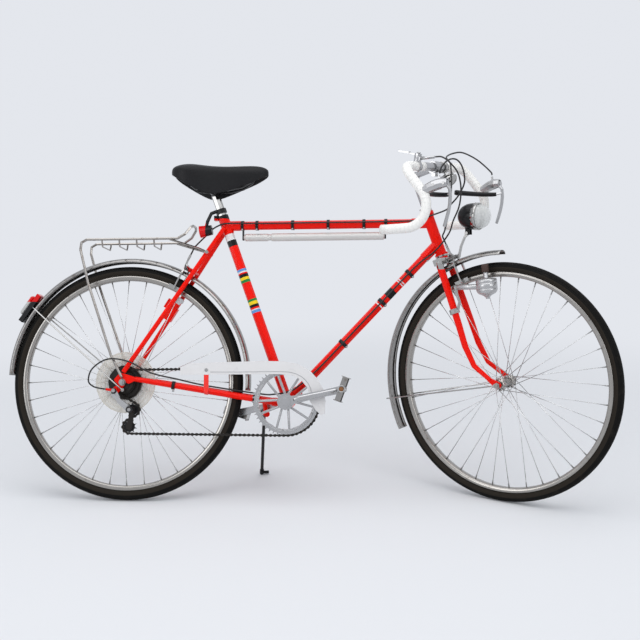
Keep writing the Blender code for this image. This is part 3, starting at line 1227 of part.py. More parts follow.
def pedal(side, at, tilt):
    """Pedal of two end plates and two toothed side plates round a barrel."""
    turn = Matrix.Translation((at[0], 0, at[1])) @ Matrix.Rotation(-tilt, 4, "Y")
    y1, y2 = side * PEDAL_FACE, side * PEDAL_END
    lo, hi = min(y1, y2), max(y1, y2)
    inner = side * (PEDAL_FACE + 0.0025)
    outer = side * (PEDAL_END - 0.0025)
    x, h = PEDAL_LENGTH / 2, PEDAL_HEIGHT / 2
    parts = [block("p", (-x + 0.001, min(y1, inner), -0.008), (x - 0.001, max(y1, inner), 0.008), turn),
             block("p", (-x + 0.001, min(y2, outer), -0.008), (x - 0.001, max(y2, outer), 0.008), turn),
             block("p", (-x, lo, -h), (-x + 0.002, hi, h), turn), block("p", (x - 0.002, lo, -h), (x, hi, h), turn),
             rod("p", (at[0], lo, at[1]), (at[0], hi, at[1]), 0.010, 8)]
    body = joined(*parts)
    notch = []
    for k in range(3):
        y = lo + (hi - lo) * (k + 0.5) / 3
        for sx in (-1, 1):
            for sz in (-1, 1):
                a = (sx * x - 0.004, y - 0.0045, sz * h - 0.005)
                b = (sx * x + 0.004, y + 0.0045, sz * h + 0.005)
                notch.append(block("n", a, b, turn))
    body = cut(body, *notch)
    return cut(body, across("p", at[0], at[1], side * (PEDAL_FACE - 0.02), side * (PEDAL_END - 0.003 + GAP),
                            bore(PEDAL_SPINDLE_RADIUS, 8), 8))


RIGHT_PEDAL_AXIS = axis_empty("right_pedal_axis", (RIGHT_PEDAL[0], 0, RIGHT_PEDAL[1]), (0, 1, 0), CRANK_AXIS)
LEFT_PEDAL_AXIS = axis_empty("left_pedal_axis", (LEFT_PEDAL[0], 0, LEFT_PEDAL[1]), (0, 1, 0), CRANK_AXIS)
finish("right_pedal", pedal(-1, RIGHT_PEDAL, radians(70)), STEEL, RIGHT_PEDAL_AXIS)
finish("left_pedal", pedal(1, LEFT_PEDAL, radians(-18)), STEEL, LEFT_PEDAL_AXIS)

# Derailleur: hinged body, sprung cage and its two pulleys
CAGE_HALF = CHAIN_WIDTH / 2 + 0.0015
CAGE_PLATE = 0.0015
CHAIN_Y = -CHAIN_LINE
cage_out = CHAIN_Y - CAGE_HALF - CAGE_PLATE
low, up = LOW_PULLEY, GUIDE_PULLEY
LINK = 0.003
HINGE_BAR = 0.003
hinge_y = KNUCKLE_END - GAP - HINGE_BAR
swing_in = hinge_y - 0.001
lower_in = cage_out - GAP
link_y = swing_in - LINK
SWING_DIR = (Vector((hang_x, 0, hang_z)) - Vector((up[0], 0, up[1]))).normalized()
SWING_AXIS = Vector((SWING_DIR.z, 0, -SWING_DIR.x))
hinge_at = Vector((hang_x, hinge_y, hang_z))
SWING_EMPTY = axis_empty("derailleur_axis", hinge_at, SWING_AXIS, FRAME)
link_line = [(hang_x, hang_z), ((hang_x + up[0]) / 2 - 0.006, (hang_z + up[1]) / 2 - 0.003), (up[0], up[1])]
body = joined(
    plate("d", [strip(link_line, [0.016, 0.014, 0.018])], link_y, swing_in),
    plate("d", [strip([(hang_x - 0.002, hang_z - 0.012), (up[0] - 0.006, up[1] + 0.012)], 0.009)], link_y - 0.006, link_y + 0.001),
    across("d", up[0], up[1], link_y, lower_in, KNUCKLE, 8),
    across("d", hang_x, hang_z, link_y + 0.001, link_y - 0.004, 0.0055, 8),
    rod("d", hinge_at - SWING_AXIS * 0.007, hinge_at + SWING_AXIS * 0.007, HINGE_BAR, 12))
finish("derailleur_body", body, STEEL, SWING_EMPTY)
CAGE_EMPTY = axis_empty("cage_axis", (up[0], 0, up[1]), (0, 1, 0), SWING_EMPTY)
UPPER_EMPTY = axis_empty("upper_pulley_axis", (up[0], 0, up[1]), (0, 1, 0), CAGE_EMPTY)
LOWER_EMPTY = axis_empty("lower_pulley_axis", (low[0], 0, low[1]), (0, 1, 0), CAGE_EMPTY)
down = (Vector(low) - Vector(up)).normalized()
rear_of = Vector((down.y, -down.x))
cage_line = [tuple(up), tuple((Vector(up) + Vector(low)) / 2), tuple(low)]
outer_plate = plate("g", [strip(cage_line, [0.020, 0.013, 0.020])], cage_out, cage_out + CAGE_PLATE)
inner_plate = plate("g", [strip(cage_line, [0.018, 0.011, 0.018])], CHAIN_Y + CAGE_HALF, CHAIN_Y + CAGE_HALF + CAGE_PLATE)
cage_parts = [inner_plate]
for p in (up, low):
    cage_parts.append(across("g", p[0], p[1], cage_out, CHAIN_Y + CAGE_HALF + CAGE_PLATE, 0.003, 8))
cage = joined(outer_plate, *cage_parts)
finish("derailleur_cage", cage, STEEL, CAGE_EMPTY)
for name, at, empty in (("upper_pulley", up, UPPER_EMPTY), ("lower_pulley", low, LOWER_EMPTY)):
    outline = tooth_outline(at, PULLEY_TEETH, phase_on(at, PULLEY_RADIUS))
    wheel_body = joined(plate("w", [outline], CHAIN_Y - HALF_TEETH, CHAIN_Y + HALF_TEETH),
                        across("w", *at, CHAIN_Y - CAGE_HALF + GAP, CHAIN_Y + CAGE_HALF - GAP, 0.0065, 8))
    wheel_body = cut(wheel_body, across("w", *at, CHAIN_Y - 0.02, CHAIN_Y + 0.02, bore(0.003, 8), 8))
    finish(name, wheel_body, BLACK, empty)

# Chain guard: sheet outside the chain, screwed to a clip round the right chainstay
GUARD_OUTER = [(0.167, 0.366), (0.168, 0.388), (0.193, 0.400), (0.300, 0.403), (0.409, 0.406), (0.470, 0.405),
               (0.510, 0.398), (0.545, 0.379), (0.570, 0.352), (0.586, 0.322), (0.591, 0.290), (0.588, 0.254)]
GUARD_INNER = [(0.575, 0.253), (0.560, 0.268), (0.546, 0.290), (0.545, 0.308), (0.538, 0.330), (0.520, 0.352),
               (0.495, 0.3645), (0.460, 0.368), (0.210, 0.367)]
guard = plate("g", [GUARD_OUTER + GUARD_INNER], -GUARD_PLANE - GUARD_PLATE / 2, -GUARD_PLANE + GUARD_PLATE / 2)
clip_x = 0.2445
clip_at = mirror_y(stay_at(clip_x))
guard_tab = plate("g", [strip([(clip_x, 0.382), (clip_x, clip_at.z)], 0.014)], -GUARD_PLANE - GUARD_PLATE,
                  -GUARD_PLANE + GUARD_PLATE)
stay_line = (mirror_y(CHAINSTAY_HIGH) - mirror_y(CHAINSTAY_LOW)).normalized()
clip = rod("g", clip_at - stay_line * 0.006, clip_at + stay_line * 0.006, CHAINSTAY_RADIUS + 0.0015)
guard = joined(guard, guard_tab, clip)
guard = cut(guard, chainstay(-1, GAP))
finish("chain_guard", guard, CREAM)


# Brake calipers: two arms on one bolt, the outer one with the cable's adjuster, the inner with its anchor
PAD_RADIUS = 0.313
PAD_GAP = 0.0014
PAD_HALF = 0.022
CABLE_SIDE = -0.034
ADJUSTER_TOP = 0.040


def caliper(prefix, hub, angle, reach, out_sign, parent):
    pivot = hub + Vector((cos(angle), 0, sin(angle))) * reach
    turn = frame_matrix(pivot, (0, 1, 0), (cos(angle), 0, sin(angle)))
    turn = Matrix.Translation(pivot) @ turn.to_3x3().to_4x4()
    out = turn.to_3x3() @ Vector((0, out_sign, 0))
    drop = reach - PAD_RADIUS
    pad_in = RIM_WIDTH / 2 + PAD_GAP
    made = {}
    for name, side, d1, d2 in (("right", -1, GAP / 2, ARM_PLATE), ("left", 1, -ARM_PLATE, -GAP / 2)):
        y1, y2 = sorted((out_sign * d1, out_sign * d2))
        line = [(0, 0), (side * 0.018, -0.0015), (side * 0.0305, -0.018), (side * 0.0308, -drop * 0.6), (side * 0.0285, -drop)]
        limb = plate("a", [strip(line, [0.013, 0.010, 0.009, 0.007, 0.009])], y1, y2, turn)
        pad = block("a", (min(side * pad_in, side * 0.0225), -PAD_HALF, -drop - 0.0055),
                    (max(side * pad_in, side * 0.0225), PAD_HALF, -drop + 0.0055), turn)
        bolt_a = turn @ Vector((side * 0.018, (y1 + y2) / 2, -drop))
        bolt_b = turn @ Vector((side * 0.034, (y1 + y2) / 2, -drop))
        parts = [pad, rod("a", bolt_a, bolt_b, 0.0035, 8)]
        if side < 0:
            ext = [(side * 0.014, -0.002), (side * 0.030, 0.010), (CABLE_SIDE, 0.030)]
            a = turn @ Vector((CABLE_SIDE, (y1 + y2) / 2, 0.024))
            b = turn @ Vector((CABLE_SIDE, (y1 + y2) / 2, ADJUSTER_TOP))
            parts.append(rod("a", a, b, 0.0036, 8))
        else:
            ext = [(0.004, 0.001), (-0.018, 0.005), (CABLE_SIDE, 0.007)]
        parts.append(plate("a", [strip(ext, [0.010, 0.009, 0.008])], y1, y2, turn))
        arm = joined(limb, *parts)
        arm = cut(arm, rod("a", pivot - out * 0.03, pivot + out * 0.03, bore(BOLT_RADIUS, 8), 8))
        empty = axis_empty(prefix + "_brake_" + name + "_axis", pivot, out, parent)
        finish(prefix + "_brake_arm_" + name, arm, CHROME, empty)
        made[name] = empty
    return turn @ Vector((CABLE_SIDE, out_sign * (ARM_PLATE + GAP / 2) / 2, ADJUSTER_TOP))


REAR_ADJUSTER = caliper("rear", REAR_HUB, REAR_BRAKE_ANGLE, REAR_BRAKE_REACH, 1, FRAME)
FRONT_BRAKE_ANGLE = radians(111.0)
FRONT_BRAKE_REACH = 0.388
FRONT_ADJUSTER = caliper("front", FRONT_HUB, FRONT_BRAKE_ANGLE, FRONT_BRAKE_REACH, -1, STEERING)
FRONT_BRAKE = FRONT_HUB + Vector((cos(FRONT_BRAKE_ANGLE), 0, sin(FRONT_BRAKE_ANGLE))) * FRONT_BRAKE_REACH
FRONT_BRAKE_OUT = Vector((sin(FRONT_BRAKE_ANGLE), 0, -cos(FRONT_BRAKE_ANGLE)))

# Fork with its steerer, crown, brake bolt and lamp bracket
CROWN_TOP = HEAD_TUBE_LOW - HEAD_CUP_HEIGHT - GAP
FORK_FACE = FRONT_DROPOUT_FACE + GAP
FORK_OUT = FORK_FACE + 0.0045
TIP = (0.0205, 0.0385)


def blade(side, swell=0.0):
    route = [steer_point(0.388, 0.0, side * BLADE_SPREAD_TOP), steer_point(0.28, -0.0005, side * 0.0385),
             steer_point(0.170, -0.002, side * 0.044), steer_point(0.103, -0.004, side * 0.047),
             steer_point(0.063, 0.0085, side * 0.049), steer_point(0.036, 0.026, side * 0.051),
             steer_point(TIP[0], TIP[1], side * (FORK_FACE + 0.0022))]
    rings = 7
    line = smooth_route(route, rings)
    sizes = []
    for k in range(rings):
        t = k / (rings - 1)
        sizes.append(swell + (BLADE_RADIUS - 0.0015 * t / 0.6 if t < 0.6 else
                              BLADE_RADIUS - 0.0015 - (BLADE_RADIUS - 0.0015 - BLADE_TIP_RADIUS) * (t - 0.6) / 0.4))
    return tube("blade", line, BLADE_RADIUS, 8, sizes)


def fork_tip(side):
    at = steer_point(TIP[0] + 0.003, TIP[1] - 0.003)
    outline = hull(circle(FRONT_HUB.x, FRONT_HUB.z, 0.0105) + circle(at.x, at.z, 0.0058))
    y1, y2 = sorted((side * FORK_FACE, side * FORK_OUT))
    body = plate("f", [outline], y1, y2)
    half = AXLE_RADIUS + GAP
    slot = frame_matrix(FRONT_HUB, (0, 1, 0), -STEER_UP)
    return cut(body, across("f", FRONT_HUB.x, FRONT_HUB.z, y1 - 0.01, y2 + 0.01, half, 10),
               block("f", (y1 - 0.01, -half * 0.98, 0.0), (y2 + 0.01, half * 0.98, 0.03), slot))


crown_frame = frame_matrix(on_steer(0.696), STEER_FORE, STEER_UP)
LAMP_TILT = Vector((1.012, 0, 0.7745))
LAMP_EAR = 0.0062
bracket_line = [(0.9812, 0.7060), (0.9836, 0.7180), (0.989, 0.738), (1.001, 0.762), (LAMP_TILT.x, LAMP_TILT.z)]
fork_parts = [rod("f", on_steer(CROWN_TOP - 0.022), on_steer(CROWN_TOP), 0.0185, 10),
              block("f", (-0.0135, -0.0425, -0.0095), (0.0135, 0.0425, 0.0085), crown_frame),
              rod("f", on_steer(HEAD_TUBE_HIGH + HEAD_CUP_HEIGHT + GAP), on_steer(HEADSET_TOP), 0.0185, 8),
              brake_bolt("f", FRONT_BRAKE - FRONT_BRAKE_OUT * 0.036, FRONT_BRAKE, FRONT_BRAKE_OUT),
              rod("f", FRONT_BRAKE, FRONT_BRAKE + FRONT_BRAKE_OUT * 0.0145, BOLT_RADIUS, 10),
              plate("f", [strip(bracket_line, [0.003, 0.003, 0.003, 0.003, 0.010])], -LAMP_EAR, LAMP_EAR),
              across("f", LAMP_TILT.x, LAMP_TILT.z, -0.0125, 0.0125, 0.0028, 8),
              across("f", LAMP_TILT.x, LAMP_TILT.z, LAMP_EAR + 0.0036, 0.0130, 0.005, 8),
              across("f", LAMP_TILT.x, LAMP_TILT.z, -LAMP_EAR - 0.0036, -0.0130, 0.005, 8),
              blade(1), blade(-1), fork_tip(1), fork_tip(-1)]
fork = joined(rod("f", on_steer(CROWN_TOP - 0.012), on_steer(HEADSET_TOP), STEERER_RADIUS, 10), *fork_parts)
fork = cut(fork, rod("f", on_steer(0.765), on_steer(0.9), snug(QUILL_RADIUS, 8), 8))
finish("fork", fork, RED, STEERING)

# Stem and handlebar
BAR_AT = Vector((BAR_TOP[0], 0, BAR_TOP[1]))
stem_axis = on_steer(STEM_TOP - 0.011)
stem = joined(
    rod("s", on_steer(0.800), on_steer(STEM_TOP), QUILL_RADIUS, 8),
    rod("s", on_steer(STEM_TOP - 0.001), on_steer(STEM_TOP + 0.006), 0.007, 6),
    rod("s", stem_axis, BAR_AT, 0.0115, 8, 0.0125),
    rod("s", on_steer(STEM_TOP - 0.024), on_steer(STEM_TOP + 0.001), 0.0145, 8),
    across("s", BAR_AT.x, BAR_AT.z, -CLAMP_WIDTH / 2, CLAMP_WIDTH / 2, CLAMP_RADIUS, 12),
    block("s", (BAR_AT.x - 0.006, -0.009, BAR_AT.z - CLAMP_RADIUS - 0.010), (BAR_AT.x + 0.006, 0.009, BAR_AT.z - 0.014)))
stem = cut(stem, across("s", BAR_AT.x, BAR_AT.z, -0.05, 0.05, bore(BAR_RADIUS, 12), 12))
finish("stem", stem, ALLOY, STEERING)


def bar_line():
    """Centre line of half the handlebar, from the middle of the top to the end of the drop."""
    x, z = BAR_TOP
    cx, cz = HOOK_CENTRE
    hook_x, hook_z = polar(HOOK_CENTRE, HOOK_RADIUS, HOOK_START)
    y = BAR_HALF_WIDTH
    ramp = Vector((hook_x - x, 0, hook_z - z))
    reach = ramp.normalized() * BAR_CORNER
    corner = Vector((x, y, z))
    start = Vector((x, y - BAR_CORNER, z))
    end = corner + reach
    line = [Vector((x, 0, z)), Vector((x, BAR_SLEEVE_HALF, z)), Vector((x, BAR_SLEEVE_HALF + 0.002, z))]
    for k in range(4):
        t = k / 3
        line.append(start.lerp(corner, t).lerp(corner.lerp(end, t), t))
    steps = 7
    for k in range(steps + 1):
        t = k / steps
        a = HOOK_START + (-pi / 2 - HOOK_START) * t
        px, pz = polar(HOOK_CENTRE, HOOK_RADIUS, a)
        line.append(Vector((px, y + (BAR_END_HALF_WIDTH - y) * t * 0.7, pz)))
    line.append(Vector((BAR_END_X, BAR_END_HALF_WIDTH, cz - HOOK_RADIUS - 0.001)))
    return line


def handlebar(swell=0.0):
    half = bar_line()
    line = [Vector((p.x, -p.y, p.z)) for p in half[:0:-1]] + half
    n = len(half)
    bare = [BAR_RADIUS, BAR_RADIUS] + [TAPE_RADIUS] * (n - 2)
    sizes = [r + swell for r in bare[:0:-1] + bare]
    return tube("bar", line, TAPE_RADIUS, 8, sizes)


SHIFT_Y = -0.110
SHIFT_UP = Vector((0.22, 0, 0.975)).normalized()
SHIFT_AT = BAR_AT + Vector((0, SHIFT_Y, 0)) + SHIFT_UP * 0.030
bar = joined(
    handlebar(),
    across("b", BAR_AT.x, BAR_AT.z, SHIFT_Y - 0.006, SHIFT_Y + 0.006, TAPE_RADIUS + 0.0026, 10),
    rod("b", BAR_AT + Vector((0, SHIFT_Y, 0)), SHIFT_AT - SHIFT_UP * GAP, 0.0105, 10),
    rod("b", SHIFT_AT - SHIFT_UP * 0.006, SHIFT_AT + SHIFT_UP * 0.0105, 0.003, 8),
    rod("b", SHIFT_AT + SHIFT_UP * (0.006 + GAP), SHIFT_AT + SHIFT_UP * 0.010, 0.0055, 8),
    rod("b", SHIFT_AT - SHIFT_UP * 0.008, Vector((0.972, SHIFT_Y, 0.9905)), 0.0052, 8, 0.0036))
finish("handlebar", bar, TAPE, STEERING)
SHIFT_AXIS = axis_empty("shift_lever_axis", SHIFT_AT, SHIFT_UP, STEERING)
side_dir = Vector((SHIFT_UP.z, 0, -SHIFT_UP.x))
lever_turn = frame_matrix(SHIFT_AT, side_dir, SHIFT_UP)
lever = joined(
    rod("l", SHIFT_AT, SHIFT_AT + SHIFT_UP * 0.006, 0.0100, 10),
    block("l", (-0.030, -0.0045, 0.001), (0.0, 0.0045, 0.0055), lever_turn),
    block("l", (-0.062, -0.0065, 0.0015), (-0.028, 0.0065, 0.0075), lever_turn))
lever = cut(lever, rod("l", SHIFT_AT - SHIFT_UP * 0.02, SHIFT_AT + SHIFT_UP * 0.02, bore(0.003, 8), 8))
finish("shift_lever", lever, ALLOY, SHIFT_AXIS)

# Brake levers: hood clamped to the bar, blade on a pin, and the safety lever that runs back under the tops
LEVER_PIVOT = (1.034, 0.176, 0.914)
LEVER_HEAD = 0.0088
CHEEK = 0.0030
for name, side in (("right", -1), ("left", 1)):
    px, py, pz = LEVER_PIVOT[0], side * LEVER_PIVOT[1], LEVER_PIVOT[2]
    route = smooth_route([(0.9755, side * 0.190, 0.8975), (0.990, side * 0.1875, 0.904), (1.008, side * 0.1825, 0.911),
                          (1.024, side * 0.1775, 0.914), (px + 0.006, py, 0.915)], 6)
    hood = tube("h", route, 0.0150, 8, [0.0128, 0.0140, 0.0152, 0.0152, 0.0146, 0.0126])
    half = 0.0054
    hood = joined(hood, rod("h", (px - 0.016, py, pz + 0.006), (px - 0.019, py, pz + 0.0225), 0.0036, 6))
    slot = block("h", (px - 0.0125, py - half, pz - 0.03), (px + 0.03, py + half, pz + 0.0105))
    pin = across("h", px, pz, py - half - 0.003, py + half + 0.003, 0.0024, 8)
    hood = joined(cut(hood, slot, handlebar(GAP)), pin)
    finish(name + "_lever_hood", hood, HOOD, STEERING)
    empty = axis_empty(name + "_lever_axis", (px, py, pz), (0, 1, 0), STEERING)
    blade_line = smooth_route([(px, py, pz), (1.045, py, 0.900), (1.0465, py, 0.880), (1.043, py, 0.853),
                               (1.036, py, 0.828), (1.024, py, 0.797)], 7)
    inward = -side
    safety = smooth_route([(1.0462, py, 0.886), (1.040, py + inward * 0.012, 0.883), (1.020, py + inward * 0.019, 0.883),
                           (0.985, py + inward * 0.031, 0.886), (0.945, py + inward * 0.060, 0.892)], 6)
    lever = joined(across("l", px, pz, py - half + GAP, py + half - GAP, LEVER_HEAD, 10),
                   tube("l", blade_line, 0.0048, 6, [0.0046] * 2 + [0.0048] * 4 + [0.0042]),
                   tube("l", safety, 0.0040, 6, [0.0036, 0.0036, 0.0036, 0.0046, 0.0046, 0.0042]))
    lever = cut(lever, across("l", px, pz, py - 0.02, py + 0.02, bore(0.0024, 8), 8))
    finish(name + "_brake_lever", lever, ALLOY, empty)

# Headlamp
LAMP_AXIS = axis_empty("headlamp_axis", LAMP_TILT, (0, 1, 0), STEERING)
lamp_dir = Vector((0.998, 0, -0.055)).normalized()
lamp_at = Vector((1.037, 0, 0.8205))
shell_profile = [(0.0, 0.0), (0.0378, 0.0), (0.0378, -0.008), (0.0350, -0.024), (0.0280, -0.038), (0.0160, -0.048),
                 (0.0, -0.0515)]
shell = turned("h", shell_profile, lamp_at, lamp_dir, 14, closed=False)
ears = []
for s in (-1, 1):
    y1, y2 = sorted((s * (LAMP_EAR + GAP), s * (LAMP_EAR + 0.0033)))
    ears.append(plate("h", [strip([(LAMP_TILT.x, LAMP_TILT.z), (LAMP_TILT.x + 0.004, LAMP_TILT.z + 0.016)], 0.012)], y1, y2))
shell = cut(joined(shell, *ears), across("h", LAMP_TILT.x, LAMP_TILT.z, -0.05, 0.05, bore(0.0028, 8), 8))
finish("headlamp_shell", shell, BLACK, LAMP_AXIS)
lens_profile = [(0.0, 0.045), (0.0140, 0.0430), (0.0270, 0.0345), (0.0335, 0.0225), (0.0360, 0.0130), (0.0388, 0.0125),
                (0.0392, GAP), (0.0, GAP)]
lens = turned("l", lens_profile, lamp_at, lamp_dir, 14, closed=False)
finish("headlamp_lens", lens, LENS, LAMP_AXIS)

# Front mudguard
FRONT_XZ = (FRONT_HUB.x, FRONT_HUB.z)
front_guard = mudguard("g", FRONT_XZ, FRONT_GUARD_RADIUS, FRONT_GUARD_ARC, 13)
tab_low = sqrt(FRONT_GUARD_RADIUS ** 2 - FORK_RAKE ** 2) - 0.0015
tab_high = (CROWN_TOP - 0.022 - STEER_FOOT.z) / STEER_UP.z - GAP * 1.5
tab_frame = frame_matrix(STEER_FOOT, STEER_FORE, STEER_UP)
stay_top = polar(FRONT_XZ, FRONT_GUARD_RADIUS - GUARD_DEPTH, radians(188.5))
eye_in = FORK_OUT + GAP
parts = [block("t", (-0.007, -0.007, tab_low), (0.007, 0.007, tab_high), tab_frame)]
for side in (1, -1):
    lift = STAY_WIRE_RADIUS + 0.0002
    edge_point = (stay_top[0], side * (GUARD_HALF_WIDTH - 0.001), stay_top[1])
    foot = (FRONT_HUB.x - 0.008, side * (eye_in + lift), FRONT_HUB.z - 0.001)
    out = (stay_top[0] + 0.014, side * (GUARD_HALF_WIDTH + 0.004), stay_top[1] + (foot[2] - stay_top[1]) * 0.04)
    beside = (FRONT_HUB.x - 0.030, foot[1], FRONT_HUB.z - 0.004)
    parts.append(tube("w", [edge_point, out, beside, foot], STAY_WIRE_RADIUS, 5))
    parts.append(across("w", FRONT_HUB.x, FRONT_HUB.z, side * eye_in, side * (eye_in + EYE_PLATE), 0.0100, 10))
front_guard = joined(front_guard, *parts)
front_guard = cut(front_guard, across("g", FRONT_HUB.x, FRONT_HUB.z, -0.1, 0.1, AXLE_RADIUS + GAP, 10))
finish("front_mudguard", front_guard, CHROME, STEERING)
front_axle = wheel_axle("a", FRONT_HUB, FRONT_DROPOUT_FACE, FORK_OUT, EYE_PLATE + GAP, 0.030, 0.030)
finish("front_axle", front_axle, STEEL, STEERING)

# Dynamo: bracket on the fork blade, body on a pivot along the bracket, and its roller
DYNAMO_Y = -0.038
DYNAMO_PIVOT_Z = 0.622
DYNAMO_AXIS_UP = Vector((-0.059, 0, 0.998)).normalized()
DYNAMO_AT = Vector((1.0807, DYNAMO_Y, DYNAMO_PIVOT_Z))
ROLLER_SIZE = 0.0100
BODY_SIZE = 0.0300
clamp_at = steer_point(0.238, -0.001, -0.0406)
clamp_dir = (steer_point(0.250, -0.001, -0.0400) - steer_point(0.226, -0.001, -0.0412)).normalized()
bracket = joined(
    rod("d", clamp_at - clamp_dir * 0.007, clamp_at + clamp_dir * 0.007, 0.0145, 10),
    tube("d", [(clamp_at.x + 0.010, -0.042, clamp_at.z), (0.996, -0.041, 0.580), (0.986, DYNAMO_Y, 0.604),
               (0.984, DYNAMO_Y, DYNAMO_PIVOT_Z)], 0.0045, 8),
    rod("d", (0.9815, DYNAMO_Y, DYNAMO_PIVOT_Z), (1.038, DYNAMO_Y, DYNAMO_PIVOT_Z), 0.004, 8),
    rod("d", (0.9815, DYNAMO_Y, DYNAMO_PIVOT_Z), (0.990, DYNAMO_Y, DYNAMO_PIVOT_Z), 0.0072, 8))
bracket = cut(bracket, blade(-1, GAP))
finish("dynamo_bracket", bracket, CHROME, STEERING)
DYNAMO_EMPTY = axis_empty("dynamo_axis", (0.99, DYNAMO_Y, DYNAMO_PIVOT_Z), (1, 0, 0), STEERING, (0, 1, 0))
body_profile = [(0.0, 0.041), (0.0070, 0.041), (0.0070, 0.024), (0.0250, 0.0225), (BODY_SIZE, 0.018), (BODY_SIZE, -0.010),
                (0.0240, -0.019), (0.0110, -0.0255), (0.0055, -0.034), (0.0, -0.034)]
dynamo = joined(turned("d", body_profile, DYNAMO_AT, DYNAMO_AXIS_UP, 12, closed=False),
                rod("d", (0.990 + GAP, DYNAMO_Y, DYNAMO_PIVOT_Z), (1.056, DYNAMO_Y, DYNAMO_PIVOT_Z), 0.0075, 8))
dynamo = cut(dynamo, rod("d", (0.98, DYNAMO_Y, DYNAMO_PIVOT_Z), (1.038 + GAP, DYNAMO_Y, DYNAMO_PIVOT_Z), bore(0.004, 8), 8))
finish("dynamo_body", dynamo, ALLOY, DYNAMO_EMPTY)
ROLLER_EMPTY = axis_empty("dynamo_roller_axis", DYNAMO_AT, DYNAMO_AXIS_UP, DYNAMO_EMPTY)
roller = rod("r", DYNAMO_AT + DYNAMO_AXIS_UP * (0.041 + GAP), DYNAMO_AT + DYNAMO_AXIS_UP * 0.064, ROLLER_SIZE, 12)
finish("dynamo_roller", roller, RUBBER, ROLLER_EMPTY)

# Bell under the bar, on the left
BELL_Y = 0.054
BELL_DIR = Vector((0.42, 0.0, -0.907)).normalized()
bell_at = BAR_AT + Vector((0, BELL_Y, 0))
dome = [(0.0, 0.0600), (0.0120, 0.0585), (0.0210, 0.0530), (0.0262, 0.0440), (0.0270, 0.0370), (0.0, 0.0370)]
bell = joined(turned("b", dome, bell_at, BELL_DIR, 12, closed=False),
              rod("b", bell_at + BELL_DIR * 0.014, bell_at + BELL_DIR * 0.040, 0.005, 6),
              rod("b", bell_at + BELL_DIR * 0.027, bell_at + BELL_DIR * 0.0335, 0.0215, 8),
              across("b", BAR_AT.x, BAR_AT.z, BELL_Y - 0.006, BELL_Y + 0.006, BAR_RADIUS + 0.0045, 12))
bell = cut(bell, across("b", BAR_AT.x, BAR_AT.z, BELL_Y - 0.05, BELL_Y + 0.05, bore(BAR_RADIUS, 12), 12))
finish("bell", bell, CHROME, STEERING)

# Cables, each in one sleeve
CABLE_RADIUS = 0.0023
CABLE_SIDES = 6


def steered(points, share=1.0):
    """Points of the straight-ahead bicycle as they lie with the bars turned."""
    turn = Matrix.Rotation(-STEER_TURN * share, 4, STEER_UP)
    shift = Matrix.Translation(STEER_FOOT) @ turn @ Matrix.Translation(-STEER_FOOT)
    return [shift @ Vector(p) for p in points]


def cable(name, route, count, parent):
    finish(name, tube(name, smooth_route(route, count), CABLE_RADIUS, CABLE_SIDES), BLACK, parent, 70)




def into_adjuster(top, angle):
    """Last points of a cable that runs straight into a caliper's adjuster."""
    radial = Vector((cos(angle), 0, sin(angle)))
    return [tuple(top + radial * d) for d in (0.026, 0.013, 0.0006)]


cable("front_brake_cable",
      [(1.016, 0.176, 0.941), (1.011, 0.176, 0.952), (0.981, 0.165, 0.984), (0.955, 0.150, 1.004), (0.938, 0.130, 1.013),
       (0.924, 0.105, 1.010), (0.919, 0.080, 1.003), (0.926, 0.058, 0.995), (0.944, 0.044, 0.978), (0.953, 0.030, 0.948),
       (0.960, 0.012, 0.908), (0.963, -0.006, 0.866), (0.960, -0.022, 0.820), (0.954, -0.031, 0.785)]
      + into_adjuster(FRONT_ADJUSTER, FRONT_BRAKE_ANGLE), 24, STEERING)
cable("rear_brake_cable",
      steered([(1.017, -0.176, 0.941), (1.023, -0.175, 0.957), (1.034, -0.165, 0.973), (1.045, -0.150, 0.979),
               (1.052, -0.130, 0.974), (1.052, -0.105, 0.957), (1.046, -0.080, 0.931), (1.034, -0.062, 0.909),
               (1.007, -0.045, 0.880), (0.980, -0.037, 0.858)]) + steered([(0.948, -0.031, 0.842)], 0.5)
      + [(0.893, -0.0215, 0.826), (0.855, -0.0175, 0.8145), (0.760, -0.0170, 0.812), (0.560, -0.0170, 0.812),
         (0.420, -0.0170, 0.812), (0.330, -0.0190, 0.813), (0.291, -0.0208, 0.812), (0.266, -0.0100, 0.806),
         (0.250, -0.0050, 0.797), (0.236, -0.0035, 0.783), (0.221, -0.0130, 0.766)]
      + into_adjuster(REAR_ADJUSTER, REAR_BRAKE_ANGLE), 36, FRAME)
down_side = Vector((0, -0.0165, 0))
down_far = DOWN_HEAD + DOWN_DIR * 0.10 + down_side
down_mid = DOWN_HEAD + DOWN_DIR * 0.28 + down_side
down_low = DOWN_HEAD + DOWN_DIR * 0.50 + down_side
stop_dir = (CABLE_STOP - Vector((hang_x, CABLE_STOP.y, hang_z))).normalized()
cable("gear_cable",
      steered([(0.9745, SHIFT_Y, 0.9912), (0.994, -0.109, 0.989), (1.013, -0.104, 0.974), (1.030, -0.094, 0.948),
               (1.034, -0.084, 0.920), (1.028, -0.070, 0.885), (1.014, -0.058, 0.848), (0.990, -0.047, 0.812)])
      + steered([(0.957, -0.037, 0.772)], 0.6)
      + [(0.905, -0.024, 0.722), tuple(down_far), tuple(down_mid), tuple(down_low), (0.503, -0.0225, 0.329),
         (0.476, -0.0262, 0.3165), (0.440, -0.0310, 0.3105), (0.400, -0.0345, 0.3115), (0.2445, -0.0440, 0.3352),
         (0.160, -0.0560, 0.3540), (0.085, -0.066, 0.372), (0.020, -0.0765, 0.405), (-0.040, -0.079, 0.412),
         (-0.085, -0.079, 0.385), (-0.097, -0.0775, 0.350), (-0.083, -0.0735, 0.333)]
      + [tuple(CABLE_STOP + stop_dir * d) for d in (0.014, 0.0006)], 54, FRAME)

